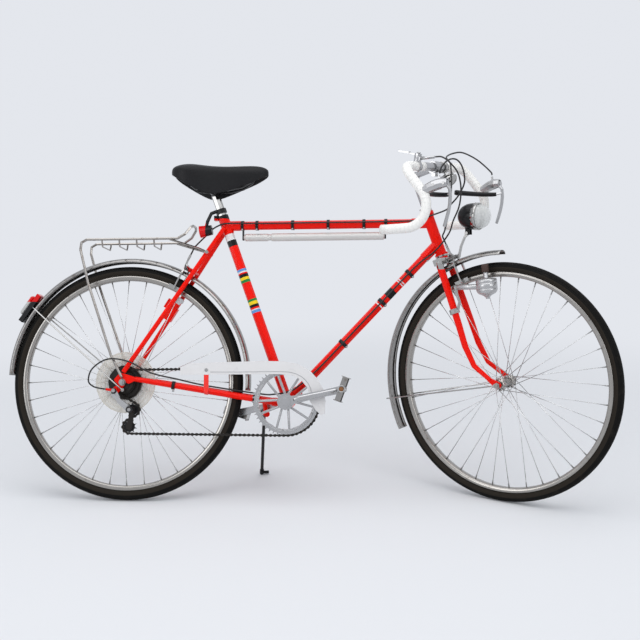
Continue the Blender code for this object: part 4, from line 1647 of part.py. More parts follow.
# Stance: bars turned, and the whole machine leaned on its stand with both tyres on the floor
STEERING.matrix_local = STEERING.matrix_local @ Matrix.Rotation(-STEER_TURN, 4, "Z")
bpy.context.view_layer.update()


def lowest(obj, lean):
    """Lowest point of a piece once the machine is leaned and pitched."""
    return min((lean @ obj.matrix_world @ v.co).z for v in obj.data.vertices)


def placed(pitch, roll):
    return Matrix.Rotation(pitch, 4, "Y") @ Matrix.Rotation(-roll, 4, "X")


tyres = [bpy.data.objects["rear_tyre"], bpy.data.objects["front_tyre"]]
stand = bpy.data.objects["kickstand"]
roll, pitch = LEAN, 0.0
for _ in range(12):
    for _ in range(6):
        rear, front = (lowest(t, placed(pitch, roll)) for t in tyres)
        pitch += (front - rear) / WHEELBASE
    foot = lowest(stand, placed(pitch, roll))
    roll += (foot - rear) / STAND_FOOT_Y
    print("stance", degrees(roll), degrees(pitch), rear, front, foot)
STANCE.matrix_world = placed(pitch, roll)
bpy.context.view_layer.update()
corners = [o.matrix_world @ v.co for o in PARTS.objects if o.type == "MESH" for v in o.data.vertices]
low = [min(c[i] for c in corners) for i in range(3)]
high = [max(c[i] for c in corners) for i in range(3)]
shift = Vector((-(low[0] + high[0]) / 2, -(low[1] + high[1]) / 2, -low[2]))
STANCE.matrix_world = Matrix.Translation(shift) @ STANCE.matrix_world
bpy.context.view_layer.update()
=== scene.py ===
from math import asin, atan2, cos, hypot, pi, radians, sin

import bmesh
import bpy
from mathutils import Matrix, Vector


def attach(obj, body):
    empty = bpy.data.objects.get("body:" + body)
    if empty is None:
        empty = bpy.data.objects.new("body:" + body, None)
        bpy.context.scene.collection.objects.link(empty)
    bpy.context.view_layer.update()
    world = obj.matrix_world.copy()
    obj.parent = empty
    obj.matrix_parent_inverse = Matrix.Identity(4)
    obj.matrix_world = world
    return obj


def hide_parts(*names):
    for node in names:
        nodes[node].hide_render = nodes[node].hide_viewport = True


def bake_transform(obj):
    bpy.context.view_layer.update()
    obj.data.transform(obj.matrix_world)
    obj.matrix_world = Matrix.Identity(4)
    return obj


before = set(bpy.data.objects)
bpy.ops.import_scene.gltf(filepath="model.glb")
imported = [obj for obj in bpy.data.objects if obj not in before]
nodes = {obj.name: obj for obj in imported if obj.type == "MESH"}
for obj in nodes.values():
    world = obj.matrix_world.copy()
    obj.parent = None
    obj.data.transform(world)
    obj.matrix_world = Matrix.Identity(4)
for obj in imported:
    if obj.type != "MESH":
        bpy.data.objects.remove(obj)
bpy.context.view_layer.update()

# Frame: steel tubes brazed into lugs and painted red, with plain bands of tape round two of them. The
# machine leans to its left on its stand, with the bars turned right. Pieces are drawn upright and straight
# ahead, then put in place: stood for what the frame carries, steered for what turns with the fork.
stood = Matrix(((0.9999903, 0.0011541, -0.004246, -0.5224633), (0.0, 0.9649903, 0.2622858, -0.1603137),
                (0.0044, -0.2622832, 0.9649809, 0.0), (0.0, 0.0, 0.0, 1.0)))
steered = Matrix(((0.8878894, 0.4581179, -0.04219, -0.391618), (-0.4516631, 0.885455, 0.1094062, 0.3668724),
                  (0.0874782, -0.078085, 0.9931014, -0.0969697), (0.0, 0.0, 0.0, 1.0)))
low_head = (0.9143, 0, 0.7472)
down_line = (-0.6912, 0, -0.7226)
rise = Vector((-0.3206, 0, 0.9472))


def node(tree, kind, inputs=None, **settings):
    """New shader node. Each input is a value, or the output of another node to join to it."""
    made = tree.nodes.new("ShaderNode" + kind)
    for setting, value in settings.items():
        setattr(made, setting, value)
    for socket, value in (inputs or {}).items():
        if isinstance(value, bpy.types.NodeSocket):
            tree.links.new(value, made.inputs[socket])
        else:
            made.inputs[socket].default_value = value
    return made


def surface(name, colour, rough, metal=0.0, coat=0.0, mottle=0.08, grain=0.02, fine=500.0, soil=None,
            soiled=0.5, patch=18.0, shine=0.5, worn_edge=0.0006):
    """Finish with soft mottling in its colour, a fine grain in its relief and uneven gloss.

    Soil gathers in patches, and sharp edges catch the light as if worn round.
    """
    mat = bpy.data.materials.new(name)
    mat.use_nodes = True
    tree = mat.node_tree
    shader = tree.nodes["Principled BSDF"]
    for socket, value in (("Metallic", metal), ("Specular IOR Level", shine), ("Coat Weight", coat),
                          ("Coat Roughness", 0.06)):
        shader.inputs[socket].default_value = value
    place = node(tree, "TexCoord").outputs["Object"]
    wide = node(tree, "TexNoise", {"Vector": place, "Scale": patch, "Detail": 4.0}).outputs["Fac"]
    darker = [max(0.0, c * (1 - mottle)) for c in colour] + [1]
    lighter = [min(1.0, c * (1 + mottle)) for c in colour] + [1]
    last = node(tree, "Mix", {0: wide, 6: darker, 7: lighter}, data_type="RGBA").outputs[2]
    gloss = node(tree, "MapRange", {0: wide, 1: 0.3, 2: 0.7, 3: rough * 0.85, 4: min(1.0, rough * 1.25)})
    tree.links.new(gloss.outputs[0], shader.inputs["Roughness"])
    if soil:
        spots = node(tree, "TexNoise", {"Vector": place, "Scale": patch * 3.1, "Detail": 8.0,
                                        "Roughness": 0.7})
        edge = node(tree, "MapRange", {0: spots.outputs["Fac"], 1: 1.0 - soiled, 2: 1.15 - soiled, 4: 0.75})
        last = node(tree, "Mix", {0: edge.outputs[0], 6: last, 7: list(soil) + [1]},
                    data_type="RGBA").outputs[2]
    tree.links.new(last, shader.inputs["Base Color"])
    grains = node(tree, "TexNoise", {"Vector": place, "Scale": fine, "Detail": 3.0}).outputs["Fac"]
    relief = node(tree, "Bump", {"Height": grains, "Strength": grain, "Distance": 0.001}, name="relief")
    tree.links.new(relief.outputs[0], shader.inputs["Normal"])
    if worn_edge:
        rounding = node(tree, "Bevel", {"Radius": worn_edge}, samples=4)
        tree.links.new(rounding.outputs[0], relief.inputs["Normal"])
    return mat


def dress(finish, *names):
    """Give CAD pieces their finish, smooth but for their sharp edges."""
    for name in names:
        mesh = nodes[name].data
        mesh.materials.clear()
        mesh.materials.append(finish)
        mesh.shade_smooth()
        mesh.set_sharp_from_angle(angle=radians(48))


def trim(base, place, colour, metal, rough, *bounds):
    """Copy of a finish with a second one inside the bounds, given upright and straight ahead.

    Each bound is (point, direction, low, high), measured along the direction. With "round" at its end it is
    measured away from that line.
    """
    mat = base.copy()
    tree = mat.node_tree
    shader = tree.nodes["Principled BSDF"]
    where = node(tree, "TexCoord").outputs["Object"]
    mask = None
    for point, direction, low, high, *round_it in bounds:
        axis = (place.to_3x3() @ Vector(direction)).normalized()
        from_point = node(tree, "VectorMath", {0: where, 1: place @ Vector(point)},
                          operation="SUBTRACT").outputs[0]
        if round_it:
            aside = node(tree, "VectorMath", {0: from_point, 1: axis}, operation="CROSS_PRODUCT").outputs[0]
            distance = node(tree, "VectorMath", {0: aside}, operation="LENGTH").outputs["Value"]
        else:
            distance = node(tree, "VectorMath", {0: from_point, 1: axis},
                            operation="DOT_PRODUCT").outputs["Value"]
        inside = node(tree, "Math", {0: distance, 1: (low + high) / 2, 2: (high - low) / 2},
                      operation="COMPARE").outputs[0]
        mask = node(tree, "Math", {0: mask, 1: inside}, operation="MULTIPLY").outputs[0] if mask else inside
    for name, kind, first, value in (("Base Color", "RGBA", 6, [*colour, 1.0]),
                                     ("Metallic", "FLOAT", 2, metal), ("Roughness", "FLOAT", 2, rough)):
        socket = shader.inputs[name]
        before = socket.links[0].from_socket if socket.is_linked else socket.default_value
        mix = node(tree, "Mix", {0: mask, first: before, first + 1: value}, data_type=kind)
        tree.links.new(mix.outputs[2 if kind == "RGBA" else 0], socket)
    return mat


red = surface("red_enamel", (0.84, 0.008, 0.002), 0.24, coat=0.14, mottle=0.06, grain=0.010, fine=220.0,
              soil=(0.30, 0.008, 0.003), soiled=0.26, shine=0.06)
plating, moulding = ((0.40, 0.395, 0.385), 1.0, 0.12), ((0.008, 0.008, 0.009), 0.0, 0.32)
head_finish = trim(red, stood, *plating, (low_head, rise, 0.0975, 0.2))
head_finish = trim(head_finish, stood, *plating, (low_head, rise, -0.2, -0.0365))
hanger_finish = trim(red, stood, *moulding, ((0, 0, 0), (0, 0, 1), 0.70, 0.7950))


def banded(base, start, end, stripes):
    """Copy of a finish with bands between two points. Each stripe is (from, colour), with None for bare."""
    mat = base.copy()
    tree = mat.node_tree
    a, b = stood @ Vector(start), stood @ Vector(end)
    way = (b - a).normalized()
    where = node(tree, "TexCoord").outputs["Object"]
    shift = node(tree, "VectorMath", {0: where, 1: a}, operation="SUBTRACT").outputs[0]
    along = node(tree, "VectorMath", {0: shift, 1: way}, operation="DOT_PRODUCT").outputs["Value"]
    share = node(tree, "MapRange", {0: along, 2: (b - a).length}).outputs[0]
    ramp = node(tree, "ValToRGB", {0: share})
    ramp.color_ramp.interpolation = "CONSTANT"
    items = ramp.color_ramp.elements
    while len(items) > 1:
        items.remove(items[-1])
    items[0].position = 0.0
    items[0].color = (0, 0, 0, 0)
    for at, colour in stripes:
        item = items.new(min(1.0, at / (b - a).length))
        item.color = (*colour, 1.0) if colour else (0, 0, 0, 0)
    socket = tree.nodes["Principled BSDF"].inputs["Base Color"]
    over = node(tree, "Mix", {0: ramp.outputs["Alpha"], 6: socket.links[0].from_socket,
                              7: ramp.outputs["Color"]}, data_type="RGBA")
    tree.links.new(over.outputs[2], socket)
    return mat


ink, paper, sky = (0.01, 0.01, 0.01), (0.72, 0.72, 0.72), (0.12, 0.30, 0.62)
sun, leaf = (0.85, 0.62, 0.02), (0.02, 0.22, 0.05)
seat_finish = banded(red, (0.2977, 0, 0.7900), (0.4180, 0, 0.4520),
                     [(0.008, paper), (0.028, ink), (0.046, None), (0.118, sky), (0.126, paper),
                      (0.129, None), (0.134, ink), (0.143, sun), (0.152, leaf), (0.160, None), (0.212, leaf),
                      (0.220, sun), (0.229, ink), (0.238, None), (0.243, paper), (0.246, sky), (0.254, None)])
down_finish = banded(red, (0.9143, 0, 0.7472), (0.6000, 0, 0.4186),
                     [(0.150, paper), (0.153, None), (0.158, paper), (0.161, None), (0.185, ink),
                      (0.212, None), (0.236, paper), (0.239, None), (0.244, paper), (0.247, None)])
seat_finish = trim(seat_finish, stood, *moulding, ((0, 0, 0), (0, 0, 1), 0.8285, 0.95))
dress(head_finish, "head_tube")
dress(seat_finish, "seat_tube")
dress(hanger_finish, "top_tube")
dress(down_finish, "down_tube")
dress(red, "right_chainstay", "left_chainstay", "right_seatstay", "left_seatstay")

# Fork: red blades and steerer, with a chromed crown and the lamp's plated bracket bolted in front of it. It
# turns in the head tube's cups.
fork_finish = trim(red, steered, *plating, ((0, 0, 0), (0, 0, 1), 0.6745, 0.7075),
                   ((0, 0, 0), (1, 0, 0), 0.8, 0.975))
fork_finish = trim(fork_finish, steered, *plating, ((0, 0, 0), (0, 0, 1), 0.8405, 0.95),
                   ((0, 0, 0), (1, 0, 0), 0.8, 0.94))
fork_finish = trim(fork_finish, steered, *plating, ((0, 0, 0), (0, 0, 1), 0.695, 0.85),
                   ((0, 0, 0), (1, 0, 0), 0.955, 1.1))
dress(fork_finish, "fork")

# Tyres: black rubber casings with a fine ribbed tread and plain walls, blown up in hooked alloy rims. The
# tread is cut by short slanting sipes, drawn in relief from the UV map.
rear_hub = Vector((0.0, 0.0, 0.345))
front_hub = Vector((1.1085, 0.0, 0.345))
rubber = surface("tyre_rubber", (0.0060, 0.0058, 0.0055), 0.55, mottle=0.25, grain=0.20, fine=900.0,
                 soil=(0.018, 0.015, 0.012), soiled=0.46, patch=9.0, shine=0.08, worn_edge=0.0)


def revolve(profile, frame_of, segments=96, start=0.0, arc=2 * pi, closed=False):
    """Piece turned from a profile of (radius, height) points, with its UV map in metres round and across."""
    bm = bmesh.new()
    uv = bm.loops.layers.uv.new("UVMap")
    place_of = bm.verts.layers.int.new("place")
    line = [bm.verts.new((r * cos(start), y, r * sin(start))) for r, y in profile]
    for i, vert in enumerate(line):
        vert[place_of] = i
    edges = [bm.edges.new(pair) for pair in zip(line, line[1:] + line[:1] if closed else line[1:])]
    bmesh.ops.spin(bm, geom=line + edges, cent=(0, 0, 0), axis=(0, -1, 0), angle=arc, steps=segments,
                   use_merge=abs(arc - 2 * pi) < 1e-6)
    lengths = [0.0]
    outline = profile + [profile[0]]
    for p, q in zip(outline, outline[1:]):
        lengths.append(lengths[-1] + hypot(q[0] - p[0], q[1] - p[1]))
    for face in bm.faces:
        face.smooth = True
        at = {vert[place_of] for vert in face.verts}
        wraps = closed and at == {0, len(profile) - 1} and len(profile) > 2
        first = len(profile) - 1 if wraps else min(at)
        middle = sum((v.co for v in face.verts), Vector()) / len(face.verts)
        turned = (atan2(middle.z, middle.x) - start) % (2 * pi)
        k = int(turned / arc * segments)
        size = profile[first][0] * arc / segments
        for loop in face.loops:
            spot, i = loop.vert.co, loop.vert[place_of]
            beyond = spot.z * middle.x - spot.x * middle.z > 0
            across = lengths[len(profile)] if wraps and i == 0 else lengths[i]
            loop[uv].uv = ((k + beyond) * size, across)
    bm.verts.layers.int.remove(place_of)
    bmesh.ops.transform(bm, matrix=frame_of, verts=bm.verts)
    bmesh.ops.remove_doubles(bm, verts=bm.verts, dist=1e-7)
    bmesh.ops.recalc_face_normals(bm, faces=bm.faces)
    return bm


def piece(name, parts, place, finish, body, *stands_for):
    """One object from several closed shapes, in its place on its body."""
    mesh = bpy.data.meshes.new(name)
    whole = bmesh.new()
    for part in parts if isinstance(parts, list) else [parts]:
        scrap = bpy.data.meshes.new("scrap")
        part.to_mesh(scrap)
        whole.from_mesh(scrap)
        bpy.data.meshes.remove(scrap)
    bmesh.ops.transform(whole, matrix=place, verts=whole.verts)
    whole.to_mesh(mesh)
    mesh.materials.append(finish)
    obj = bpy.data.objects.new(name, mesh)
    bpy.context.scene.collection.objects.link(obj)
    if isinstance(body, str):
        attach(obj, body)
    else:
        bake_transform(obj)
    if stands_for:
        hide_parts(*stands_for)
    return obj


def emboss(tree, height, strength, distance):
    """Raise a pattern over a finish's own fine grain."""
    bump = node(tree, "Bump", {"Height": height, "Normal": tree.nodes["relief"].outputs[0],
                               "Strength": strength, "Distance": distance})
    tree.links.new(bump.outputs[0], tree.nodes["Principled BSDF"].inputs["Normal"])


tread_rubber = rubber.copy()
tree = tread_rubber.node_tree
split = node(tree, "SeparateXYZ", {0: node(tree, "UVMap").outputs[0]})
ribs = node(tree, "Math", {0: split.outputs[1], 1: 0.0016}, operation="PINGPONG").outputs[0]
slant = node(tree, "Math", {0: ribs, 1: 2.0, 2: split.outputs[0]}, operation="MULTIPLY_ADD").outputs[0]
sipes = node(tree, "Math", {0: slant, 1: 0.0022}, operation="PINGPONG").outputs[0]
least = node(tree, "Math", {0: ribs, 1: sipes}, operation="MINIMUM").outputs[0]
emboss(tree, node(tree, "MapRange", {0: least, 1: 0.0003, 2: 0.0007}).outputs[0], 0.8, 0.0008)

wall = [(0.3290, 0.0154), (0.3245, 0.0150), (0.3200, 0.0126), (0.3178, 0.0106), (0.3100, 0.0100)]
for end, place, hub, loaded in (("rear", stood, rear_hub, 0.3443), ("front", steered, front_hub, 0.3435)):
    crown = [(loaded - 0.0165 * (1 - cos(a)) * 0.93, 0.0155 * sin(a))
             for a in [radians(d) for d in range(-60, 61, 10)]]
    casing = [(r, -y) for r, y in wall[::-1]] + [(0.3330, -0.0149)] + crown + [(0.3330, 0.0149)] + wall
    casing += [(0.3330, 0.0085), (0.3370, 0.0), (0.3330, -0.0085)]
    tread = [(r + 0.0001, y) for r, y in crown] + [(r - 0.0012, y) for r, y in crown[::-1]]
    centre = Matrix.Translation(hub)
    walls = trim(rubber, place, (0.022, 0.018, 0.014), 0.0, 0.62, (hub, (0, 1, 0), 0.300, 0.3305, "round"))
    piece(end + "_casing", revolve(casing, centre, 144, closed=True), place, walls, end + "_wheel",
          end + "_tyre")
    piece(end + "_tread", revolve(tread, centre, 144, closed=True), place, tread_rubber, end + "_wheel")

# Rims: rolled alloy hoops with a shallow well inside, and a plated nipple for each of the 36
# spokes. Spokes cross three others between flange and rim, and are laced heads in, heads out.
rim_alloy = surface("rim_alloy", (0.35, 0.335, 0.315), 0.20, metal=1.0, mottle=0.10, grain=0.015, fine=500.0,
                    soil=(0.14, 0.11, 0.085), soiled=0.42)
steel = surface("plated_steel", (0.36, 0.36, 0.36), 0.30, metal=1.0, mottle=0.14, grain=0.04, fine=700.0,
                soil=(0.16, 0.11, 0.07), soiled=0.42)
rusty = surface("worn_chrome", (0.36, 0.34, 0.32), 0.20, metal=1.0, mottle=0.18, grain=0.04, fine=420.0,
                soil=(0.12, 0.065, 0.035), soiled=0.46, patch=26.0)


def draw_on(bm, edges, spots, number):
    """Draw a row of edges on to its next place. Each new vertex goes to the spot of its own number."""
    made = bmesh.ops.extrude_edge_only(bm, edges=edges)["geom"]
    fresh = {part for part in made if isinstance(part, bmesh.types.BMVert)}
    for vert in fresh:
        vert.co = spots[vert[number]]
    return [part for part in made if isinstance(part, bmesh.types.BMEdge) and fresh.issuperset(part.verts)]


def sweep(points, radius, sides=16, flat=1.0):
    """Round bar along the points. radius is one size or one for each point."""
    bm = bmesh.new()
    uv = bm.loops.layers.uv.new("UVMap")
    for layer in ("number", "station"):
        bm.verts.layers.int.new(layer)
    number, station = bm.verts.layers.int["number"], bm.verts.layers.int["station"]
    pts = [Vector(p) for p in points]
    sizes = radius if isinstance(radius, list) else [radius] * len(pts)
    normal, along = None, [0.0]
    for i, p in enumerate(pts):
        ahead = (pts[min(i + 1, len(pts) - 1)] - pts[max(i - 1, 0)]).normalized()
        if normal is None:
            normal = ahead.orthogonal().normalized()
            if abs(ahead.y) < 0.9:
                normal = (Vector((0, 1, 0)) - ahead * ahead.y).normalized()
        normal = (normal - ahead * normal.dot(ahead)).normalized()
        other = ahead.cross(normal)
        turns = [2 * pi * k / sides for k in range(sides)]
        spots = [p + normal * (cos(a) * sizes[i]) + other * (sin(a) * sizes[i] * flat) for a in turns]
        if i:
            along.append(along[-1] + (p - pts[i - 1]).length)
            edges = draw_on(bm, edges, spots, number)
            for edge in edges:
                for vert in edge.verts:
                    vert[station] = i
        else:
            for k, vert in enumerate(bmesh.ops.create_circle(bm, segments=sides, radius=1.0)["verts"]):
                vert[number] = k
                vert.co = spots[k]
            edges = bm.edges[:]
            start = edges
    for face in bm.faces:
        face.smooth = True
        over_seam = {vert[number] for vert in face.verts} == {0, sides - 1}
        for loop in face.loops:
            k = sides if over_seam and loop.vert[number] == 0 else loop.vert[number]
            loop[uv].uv = (along[loop.vert[station]], k / sides)
    bmesh.ops.edgeloop_fill(bm, edges=start + edges)
    for layer in ("number", "station"):
        bm.verts.layers.int.remove(bm.verts.layers.int[layer])
    bmesh.ops.recalc_face_normals(bm, faces=bm.faces)
    return bm


hoop = [(0.3170, 0.0120), (0.3170, 0.0106), (0.3095, 0.0104), (0.3095, -0.0104), (0.3170, -0.0106),
        (0.3170, -0.0120), (0.3120, -0.0120), (0.3060, -0.0117), (0.3030, -0.0085), (0.3022, -0.0040),
        (0.3015, 0.0), (0.3022, 0.0040), (0.3030, 0.0085), (0.3060, 0.0117), (0.3120, 0.0120)]
spokes = 36
wire = surface("spoke_wire", (0.62, 0.62, 0.62), 0.24, metal=1.0, mottle=0.12, grain=0.02, fine=500.0,
               soil=(0.30, 0.22, 0.15), soiled=0.40, patch=40.0)
for end, place, hub, left, right, flange in (("rear", stood, rear_hub, 0.036, 0.023, 0.022),
                                             ("front", steered, front_hub, 0.033, 0.033, 0.019)):
    piece(end + "_hoop", revolve(hoop, Matrix.Translation(hub), 144, closed=True), place, rim_alloy,
          end + "_wheel", end + "_rim")
    wires, nipples = [], []
    turn = 4 * pi / spokes
    for side, base in ((1, left), (-1, -right)):
        for k in range(spokes // 2):
            rim_angle = k * turn + (0 if side > 0 else turn / 2)
            lead = -1 if k % 2 else 1
            hub_angle = rim_angle + lead * 3 * turn
            r = flange - 0.0025
            a = hub + Vector((r * cos(hub_angle), base + lead * 0.0022, r * sin(hub_angle)))
            b = hub + Vector((0.3016 * cos(rim_angle), side * 0.0015, 0.3016 * sin(rim_angle)))
            inner = b.lerp(a, 0.038)
            wires.append(sweep([a, inner], 0.0010, 6))
            nipples.append(sweep([inner.lerp(a, 0.01), inner, b], [0.0010, 0.0019, 0.0020], 6))
            head = [a - Vector((0, lead * 0.0002, 0)), a + Vector((0, lead * 0.0012, 0))]
            wires.append(sweep(head, 0.0021, 8))
    piece(end + "_spokes", wires, place, wire, end + "_wheel")
    piece(end + "_nipples", nipples, place, steel, end + "_wheel")
    t, core = 0.0015, 0.0100
    boss, reach, close = (0.0120, 0.045, 0.042) if end == "rear" else (0.0120, 0.040, 0.040)
    shell = [(0.0072, close), (core + 0.002, close), (core + 0.002, left + t), (flange - 0.0006, left + t),
             (flange, left + t - 0.0006), (flange, left - t + 0.0006), (flange - 0.0006, left - t),
             (core + 0.002, left - t), (core, left - t - 0.006), (core - 0.0012, 0.0),
             (core, -right + t + 0.006), (core + 0.002, -right + t), (flange - 0.0006, -right + t),
             (flange, -right + t - 0.0006), (flange, -right - t + 0.0006), (flange - 0.0006, -right - t),
             (boss, -right - t), (boss, -reach), (0.0072, -reach)]
    piece(end + "_hub_shell", revolve(shell, Matrix.Translation(hub), 48, closed=True), place, rusty,
          end + "_wheel", end + "_hub")
dress(steel, "rear_axle")
dress(rusty, "front_axle")

# Mudguards: thin chromed sheet rolled to a round section with a beaded edge, held by wire stays. The front
# one is longer behind the wheel than before it.
chrome = surface("bright_chrome", (0.40, 0.395, 0.385), 0.12, metal=1.0, mottle=0.12, grain=0.010, fine=300.0,
                 soil=(0.20, 0.16, 0.12), soiled=0.38)


def spline(points, count):
    """Smooth run of places through the points."""
    pts = [Vector(p) for p in points]
    ends = [pts[0] * 2 - pts[1]] + pts + [pts[-1] * 2 - pts[-2]]
    out = []
    for k in range(count):
        t = k * (len(pts) - 1) / (count - 1)
        i = min(int(t), len(pts) - 2)
        t -= i
        a, b, c, d = ends[i:i + 4]
        out.append((b * 2 + (c - a) * t + (a * 2 - b * 5 + c * 4 - d) * t * t
                    + (b * 3 - a - c * 3 + d) * t * t * t) * 0.5)
    return out


def bar(a, b, radius, sides=24, round_off=0.0006):
    """Straight bar with slightly broken edges."""
    a, b = Vector(a), Vector(b)
    ahead = (b - a).normalized() * round_off
    return sweep([a, a + ahead, b - ahead, b], [radius - round_off, radius, radius, radius - round_off],
                 sides)


def brick(low, high, edge=0.0008):
    """Block between two corners, with its edges broken."""
    bm = bmesh.new()
    bmesh.ops.create_cube(bm, size=1.0)
    size = Vector(high) - Vector(low)
    bmesh.ops.transform(bm, matrix=Matrix.Diagonal((*size, 1)), verts=bm.verts)
    bmesh.ops.bevel(bm, geom=bm.edges[:], offset=edge, segments=2, affect="EDGES", profile=0.5, material=-1)
    bmesh.ops.translate(bm, vec=(Vector(low) + Vector(high)) / 2, verts=bm.verts)
    return bm


dull_chrome = surface("dulled_chrome", (0.32, 0.31, 0.30), 0.20, metal=1.0, mottle=0.16, grain=0.02,
                      fine=320.0, soil=(0.12, 0.09, 0.065), soiled=0.46)
for end, place, centre, radius, arc, body in (
        ("rear", stood, Vector((0.003, 0, 0.349)), 0.365, (-4.5, 177.0), "frame"),
        ("front", steered, front_hub, 0.378, (89.0, 203.5), "front")):
    start, sweep_angle = radians(arc[0]), radians(arc[1] - arc[0])
    half = [(radius - 0.0006 - 0.012 * (1 - cos(radians(a))), 0.0215 * sin(radians(a)))
            for a in range(-90, 91, 15)]
    sheet = revolve(half, Matrix.Translation(centre), 120, start, sweep_angle)
    guard = piece(end + "_guard_sheet", sheet, place, dull_chrome, body, end + "_mudguard")
    thick = guard.modifiers.new("sheet", "SOLIDIFY")
    thick.thickness = 0.0010
    thick.offset = 0.0
    beads = []
    for s in (1, -1):
        edge = [(radius - 0.0126 + 0.0011 * cos(t), s * 0.0206 + 0.0011 * sin(t))
                for t in [2 * pi * i / 8 for i in range(8)]]
        beads.append(revolve(edge, Matrix.Translation(centre), 120, start, sweep_angle, closed=True))
    piece(end + "_guard_beads", beads, place, dull_chrome, body)
    stays = []
    if end == "rear":
        inner, eye, angle = 0.0653, (0.001, 0.345 - 0.022), radians(143)
        stays.append(brick((0.362 - 0.004, -0.007, 0.3235), (0.3665, 0.007, 0.329)))
    else:
        inner, eye, angle = 0.0552, (1.1005, 0.344), radians(188.5)
    top = (centre.x + (radius - 0.012) * cos(angle), centre.z + (radius - 0.012) * sin(angle))
    for s in (1, -1):
        run = [(top[0], s * 0.0205, top[1]), (top[0] + 0.012, s * 0.0260, top[1] + (eye[1] - top[1]) * 0.04),
               (top[0] + (eye[0] - top[0]) * 0.92, s * (inner + 0.0022), top[1] + (eye[1] - top[1]) * 0.92),
               (eye[0], s * (inner + 0.0022), eye[1])]
        stays.append(sweep(spline(run, 18), 0.0021, 10))
        stays.append(bar((eye[0], s * inner, eye[1]), (eye[0], s * (inner + 0.0035), eye[1]), 0.0052))
        stays.append(bar((top[0], s * 0.0195, top[1]), (top[0], s * 0.0240, top[1]), 0.0036, 12))
    piece(end + "_guard_stays", stays, place, chrome, body)

# Rear lights: a moulded red reflector on the mudguard, and a black lamp with a red glass at the seat stay.
# Their backs are pressed and painted.
black = surface("black_enamel", (0.008, 0.008, 0.009), 0.30, coat=0.15, mottle=0.2, grain=0.02, fine=300.0,
                shine=0.15)
outward = (cos(radians(144)), 0, sin(radians(144)))
reflector = trim(black, stood, (0.45, 0.45, 0.44), 0.0, 0.3, ((0.003, 0, 0.349), outward, 0.3795, 0.45))
reflector = trim(reflector, stood, (0.60, 0.006, 0.006), 0.0, 0.15, ((0, 0, 0), (0, 0, 1), 0.586, 0.7))
rear_lamp = trim(black, stood, (0.60, 0.006, 0.006), 0.0, 0.15, ((0, 0, 0), (1, 0, 0), 0.1, 0.236),
                 ((0, 0, 0), (0, 0, 1), 0.7, 0.815))
dress(reflector, "rear_reflector")
dress(rear_lamp, "tail_lamp")

# Chainset: forged alloy cranks and ring, the spider's ribs and beads polished, its five screws plated. Dust
# caps close the bolts that draw the cranks onto the spindle.
alloy = surface("polished_alloy", (0.45, 0.45, 0.455), 0.22, metal=1.0, mottle=0.08, grain=0.020, fine=900.0,
                soil=(0.22, 0.20, 0.18), soiled=0.34)
dress(alloy, "chainring", "right_crank", "left_crank")
face_y, middle = -0.0483, Vector((0.476, 0, 0.289))
crank_length, crank_angle = 0.170, radians(12)
centre = Matrix.Translation(middle)
lands = [revolve([(r - 0.0011, face_y), (r - 0.0008, face_y - 0.0010), (r + 0.0008, face_y - 0.0010),
                  (r + 0.0011, face_y)], centre, 96, closed=True) for r in (0.0838, 0.0800)]
screws = []
for k in range(5):
    base = crank_angle + radians(36 + 72 * k)
    for lean in (-1, 1):
        a = Vector((0.008 * cos(base + lean * radians(60)), 0, 0.008 * sin(base + lean * radians(60))))
        b = Vector((0.0855 * cos(base + lean * radians(13)), 0, 0.0855 * sin(base + lean * radians(13))))
        run = b - a
        lands.append(sweep([middle + a + run * t + Vector((0, face_y - 0.0001, 0))
                            for t in (0.22, 0.26, 0.88, 0.92)], [0.0005, 0.0014, 0.0014, 0.0005], 8))
    spot = middle + Vector((0.0819 * cos(base), face_y, 0.0819 * sin(base)))
    screws.append(bar(spot, spot + Vector((0, -0.0016, 0)), 0.0034, 16))
piece("spider_ribs", lands, stood, alloy, "cranks")
piece("spider_screws", screws, stood, steel, "cranks")
caps = [bar(middle + Vector((0, side * 0.0700, 0)), middle + Vector((0, side * 0.0716, 0)), 0.0112, 32)
        for side in (-1, 1)]
for side, angle in ((-1, crank_angle), (1, crank_angle + pi)):
    reach = Vector((cos(angle), 0, sin(angle)))
    face = middle + Vector((0, side * 0.0672, 0))
    caps.append(sweep([face + reach * r for r in (0.024, 0.030, 0.060, 0.110, 0.148, 0.153)],
                      [0.0012, 0.0034, 0.0032, 0.0030, 0.0030, 0.0010], 20, 2.2))
piece("crank_ridges", caps, stood, alloy, "cranks")

# Pedals: plated steel bodies that turn on spindles screwed into the cranks.
# Domed caps, brown with age, close their outer bearings inside a plated ring.
dress(dull_chrome, "right_pedal", "left_pedal")


def standing(origin, direction):
    """Frame with its Y along the direction, for a piece turned about it."""
    y = Vector(direction).normalized()
    x = y.orthogonal().normalized()
    z = x.cross(y)
    return Matrix.Translation(Vector(origin)) @ Matrix((x, y, z)).transposed().to_4x4()


amber = surface("aged_cap", (0.24, 0.10, 0.035), 0.4, metal=0.3, mottle=0.2, grain=0.05, fine=500.0)
collar = [(0.0070, 0.0), (0.0070, 0.0026), (0.0098, 0.0026), (0.0108, 0.0016), (0.0108, 0.0)]
cap = [(0.0, 0.0), (0.0068, 0.0), (0.0068, 0.0012), (0.0045, 0.0022), (0.0, 0.0025)]
for name, side, angle in (("right", -1, crank_angle), ("left", 1, crank_angle + pi)):
    at = middle + Vector((crank_length * cos(angle), side * 0.1305, crank_length * sin(angle)))
    across_it = standing(at, (0, side, 0))
    piece(name + "_pedal_ring", revolve(collar, across_it, 32, closed=True), stood, steel,
          name + "_pedal_body")
    piece(name + "_pedal_cap", revolve(cap, across_it, 32), stood, amber, name + "_pedal_body")

